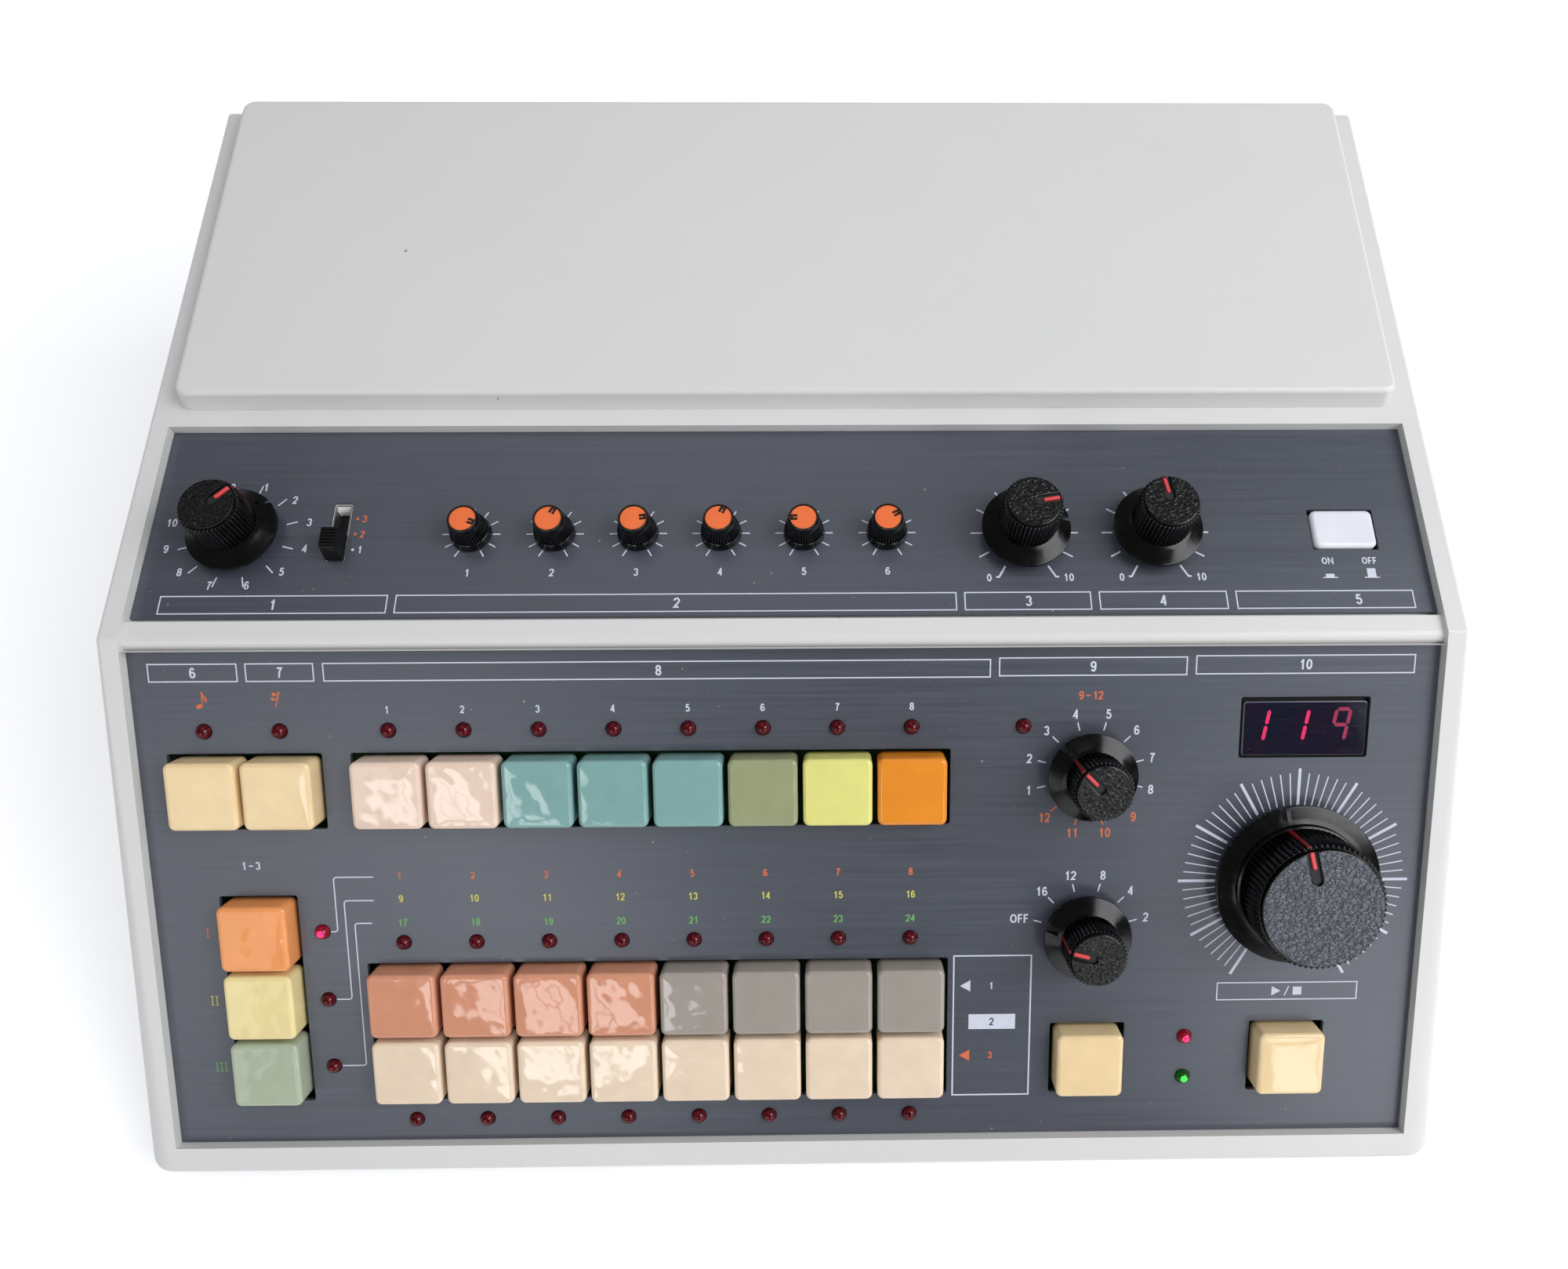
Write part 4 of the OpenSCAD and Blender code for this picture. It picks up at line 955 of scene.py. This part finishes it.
def slide_frame(x, y):
    """The light lining of the slide switch's slot, wider at its upper end, with a dark floor."""
    wide, tall = 5.3, 18.5
    steps = [(0, 0, -1.4), (0, 0, -0.25), (0.05, 0.05, -0.15), (0.15, 0.2, -0.25), (0.45, 1.3, -1.7),
             (0.45, 1.3, -5)]
    rings = []
    for side, end, z in steps:
        rings.append(at(rounded(wide - 2 * side, tall - end, 0.4, 3, x=x, y=y - end / 2), z))
    shape = Shape()
    shape.loft(rings)
    shape.flat(rings[-1], -4.5, 1)
    piece("slide_frame", shape, DECK, [BEZEL, LOOKS["switch_black"]])


def make_slide_switch():
    points = points_of("slide_switch_lever", DECK)
    (x, y, _), (width, length, _) = box_of(points)
    top = points[:, 2].max()
    lever = Shape()
    sides = [(1, 1, 0.4), (1, 1, 1.3), (0.97, 0.93, 3.0), (0.92, 0.78, top - 0.9), (0.88, 0.72, top - 0.55)]
    lever.loft([at(rounded(width * a, length * b, 0.35, 3, x=x, y=y), z) for a, b, z in sides],
               start=True, end=True)
    cap(lever, width - 1.3, length - 2.5, 0.3, 0.2, -6.4, 0.6, x=x, y=y)
    ridges = 6
    pitch = length * 0.7 / ridges
    for k in range(ridges):
        ridge_y = y + (k - (ridges - 1) / 2) * pitch
        cap(lever, width * 0.86, pitch * 0.62, 0.12, 0.14, top - 0.7, top, x=x, y=ridge_y)
    moving_piece("slide_lever", lever, DECK, [LOOKS["switch_black"]], "slide_switch_lever")
    travel = JOINTS["slide_switch_slide"]["range_m"][1] / MM
    slide_frame(x, y + travel / 2)


def make_power_button():
    points = points_of("power_button", DECK)
    x, y, _ = box_of(points)[0]
    width, height, _ = box_of(points[points[:, 2] > -1])[1]
    shape = Shape()
    cap(shape, width, height, 1.9, 1.1, -5.2, points[:, 2].max(), x=x, y=y, kink=15)
    moving_piece("power_cap", shape, DECK, [LOOKS["button_white"]], "power_button")


# ---------------- back


def back_place(mount):
    """A place on the back: x towards the case's left side, y up and z out of the case."""
    row = MOUNTS[mount]
    out = Vector(row["axis"])
    end = Vector(row["pos_m"]) + out * row["dims"]["length_mm"] * MM / 2
    return standing(end, (-1, 0, 0), (0, 0, 1), (0, 1, 0)) @ Matrix.Scale(MM, 4)


def jack(bore):
    """Washer, hexagonal nut and bushing of a jack socket, with its bore."""
    shape = Shape()
    turned(shape, [(8, -3.4), (8, -2.9), (7.8, -2.7), (5, -2.65)])
    shape.loft([at(circle(r, 6), z) for r, z in ((6.9, -2.7), (6.9, -1.1), (6.6, -0.75), (4.6, -0.7))])
    turned(shape, [(4.8, -0.9), (4.8, -0.25), (4.55, 0), (bore + 0.35, 0), (bore, -0.3), (bore, -15)])
    turned(shape, [(bore, -15), (0.2, -15)], 1, end=True)
    return shape


def round_socket():
    """The round multi-pole socket: its shell, five pins and its key."""
    shape = Shape()
    turned(shape, [(10, -3.4), (10, -2.1), (9.8, -1.8), (7.4, -1.8), (7.2, -2.0), (7.0, -2.9), (6.9, -3.3),
                   (0.2, -3.3)], 1, 64, end=True)
    for x, y in arc(0, 0, 3.9, 3.9, 180, 360, 4):
        turned(shape, [(0.95, -3.28), (0.95, -2.8), (0.8, -2.75), (0.55, -2.8), (0.55, -3.25)], 0, 16, x, y)
    cap(shape, 2.2, 1.4, 0.2, 0.1, -3.3, -2.4, 1, y=6.1)
    return shape


def make_back():
    sockets = Shape()
    base = back_place("line_out_jack")
    inverse = base.inverted()
    for name in ("line_out_jack", "headphone_jack", "footswitch_jack"):
        sockets.merge(jack(MOUNTS[name]["dims"]["r_mm"]), *(inverse @ back_place(name).translation))
    # the round socket stands between the last jack and the gland
    last = inverse @ back_place("footswitch_jack").translation
    gland = inverse @ back_place("cord_gland").translation
    sockets.merge(round_socket(), (last.x + gland.x) / 2, last.y, 0)
    collar = Shape()
    bore = MOUNTS["cord_gland"]["dims"]["r_mm"]
    turned(collar, [(8, -4), (8, -3.3), (7.6, -2.9), (6.4, -2.7), (6.1, -0.6), (5.7, 0), (bore + 0.5, 0),
                    (bore, -0.5), (bore, -12.8), (0.2, -12.8)], 1, end=True)
    sockets.merge(collar, *gland)
    piece("sockets", sockets, base, [LOOKS["control_steel"], LOOKS["switch_black"]],
          crease=30, replaces=["rear_sockets"])


# ---------------- the stage


def camera():
    """The camera of the photograph: its place in millimetres and its angles, fitted to the panels."""
    frame_width, frame_height = 2000, 1618
    focal, centre = 1481.5, (1083.4, 834.2)
    spot = Vector((11.74, -124.83, 302.07))
    yaw, pitch, roll = (math.radians(a) for a in (-2.4036, 67.919, -1.8905))
    data = bpy.data.cameras.new("camera")
    data.sensor_width = 36
    data.lens = data.sensor_width * focal / frame_width
    data.shift_x = (frame_width / 2 - centre[0]) / frame_width
    data.shift_y = (centre[1] - frame_height / 2) / frame_width
    data.clip_start = 0.01
    turn = Matrix.Rotation(yaw, 4, "Z") @ Matrix.Rotation(math.pi / 2 - pitch, 4, "X")
    # the deck's axes in the middle of the desk
    base = Matrix.Translation(DESK.translation) @ DECK.to_3x3().normalized().to_4x4()
    made = add_object("camera", data)
    made.matrix_world = base @ Matrix.Translation(spot * MM) @ turn @ Matrix.Rotation(-roll, 4, "Z")
    bpy.context.scene.camera = made


def softbox(name, spot, target, size, power, up=(0, 0, 1), colour=(1, 1, 1)):
    """A rectangular lamp that faces the target, with its height along up."""
    data = bpy.data.lights.new(name, "AREA")
    data.shape = "RECTANGLE"
    data.size, data.size_y = size
    data.energy = power
    data.color = colour
    back = (Vector(spot) - Vector(target)).normalized()
    across = Vector(up).cross(back).normalized()
    add_object(name, data).matrix_world = standing(spot, across, back.cross(across), back)


def window(name, middle, size, power, up=(0, 0, 1), bar=0.2):
    """Four panes that face the back, with bars between them of that share of a pane."""
    rise = Vector(up).normalized()
    across = Vector((rise.z, 0, -rise.x))
    pane = [s / (2 + bar) for s in size]
    for k, (i, j) in enumerate([(-1, -1), (1, -1), (-1, 1), (1, 1)]):
        spot = Vector(middle) + (across * i * pane[0] + rise * j * pane[1]) * (1 + bar) / 2
        softbox(f"{name}_{k}", spot, spot + Vector((0, 1, 0)), pane, power / 4, up)


def surroundings():
    """A white room up to the height of a table's horizon and dim above it, which the gloss shows, with an
    even light on everything. The camera sees plain white."""
    world = bpy.data.worlds.new("studio")
    world.use_nodes = True
    world.node_tree.nodes.clear()
    bpy.context.scene.world = world
    room = Nodes(world.node_tree)
    path = room.node("LightPath").outputs
    # height of a direction over the horizon, as a sine
    height = room.node("SeparateXYZ", {0: room.node("TexCoord").outputs["Generated"]}).outputs["Z"]
    views = []
    for colour, strength in (((0.92, 0.95, 1, 1), 0.43),
                             ((0.95, 0.97, 1, 1), room.span(height, 0.0, 0.17, 1.0, 0.1)),
                             ((1, 1, 1, 1), 1)):
        views.append(room.node("Background", {"Color": colour, "Strength": strength}).outputs[0])
    mirrored = room.maths("MAXIMUM", path["Is Glossy Ray"], path["Is Transmission Ray"])
    shown = room.node("MixShader", {0: mirrored, 1: views[0], 2: views[1]}).outputs[0]
    shown = room.node("MixShader", {0: path["Is Camera Ray"], 1: shown, 2: views[2]}).outputs[0]
    room.node("OutputWorld", {0: shown})


def studio():
    """Pale floor, a wide lamp at the right, a weak one above, and in front the windows and bright walls
    that the keys and the panels mirror."""
    surroundings()
    half = 4
    mesh = bpy.data.meshes.new("floor")
    corners = [(-half, -half, 0), (half, -half, 0), (half, half, 0), (-half, half, 0)]
    mesh.from_pydata(corners, [], [(0, 1, 2, 3)])
    floor = add_object("floor", mesh)
    paper = Finish("paper")
    paper.put("Roughness", 0.9)
    paper.put("Emission Color", (1, 1, 1, 1))
    paper.paint(paper.noise(180, 3), srgb(243, 243, 244), srgb(240, 240, 241))
    path = paper.node("LightPath").outputs
    seen = paper.maths("MAXIMUM", path["Is Camera Ray"], path["Is Transmission Ray"])
    seen = paper.maths("MAXIMUM", seen, path["Is Glossy Ray"])
    # white farther away, where no lamp reaches
    far = paper.node("VectorMath", {0: paper.node("TexCoord").outputs["Object"]}, operation="LENGTH")
    glow = paper.span(far.outputs["Value"], 0.5, 2.0, 0.35, 1.0)
    paper.put("Emission Strength", paper.maths("MULTIPLY", seen, glow))
    mesh.materials.append(paper.material)
    aim = (0, 0, 0.1)
    softbox("lamp_right", (1.0, -0.18, 1.15), aim, (1.0, 1.0), 15.5, colour=(0.97, 0.98, 1))
    softbox("lamp_above", (-0.2, 0.6, 1.5), aim, (1.0, 1.0), 2)
    window("window_left", (-0.405, -1.02, 0.70), (0.16, 0.62), 1.5, up=(-0.58, 0, 0.81))
    window("window_right", (0.61, -1.02, 0.54), (0.28, 0.46), 1.45)
    window("wall_left", (-0.86, -1.02, 0.72), (0.46, 0.85), 1.7, bar=0)
    window("wall_right", (0.96, -1.02, 0.62), (0.4, 0.8), 1.5, bar=0)


camera()
studio()
print_deck()
print_desk()
make_keys()
make_lamps()
make_display()
for knob in ("knob_program_mode", "knob_accent", "knob_volume"):
    skirted_knob(knob, DECK)
for knob in ("knob_intro_fill", "knob_auto_fill", "knob_tempo"):
    skirted_knob(knob, DESK)
for number in range(1, 7):
    level_knob(f"knob_level_{number}")
make_slide_switch()
make_power_button()
make_back()

bpy.context.scene.view_settings.view_transform = "Standard"
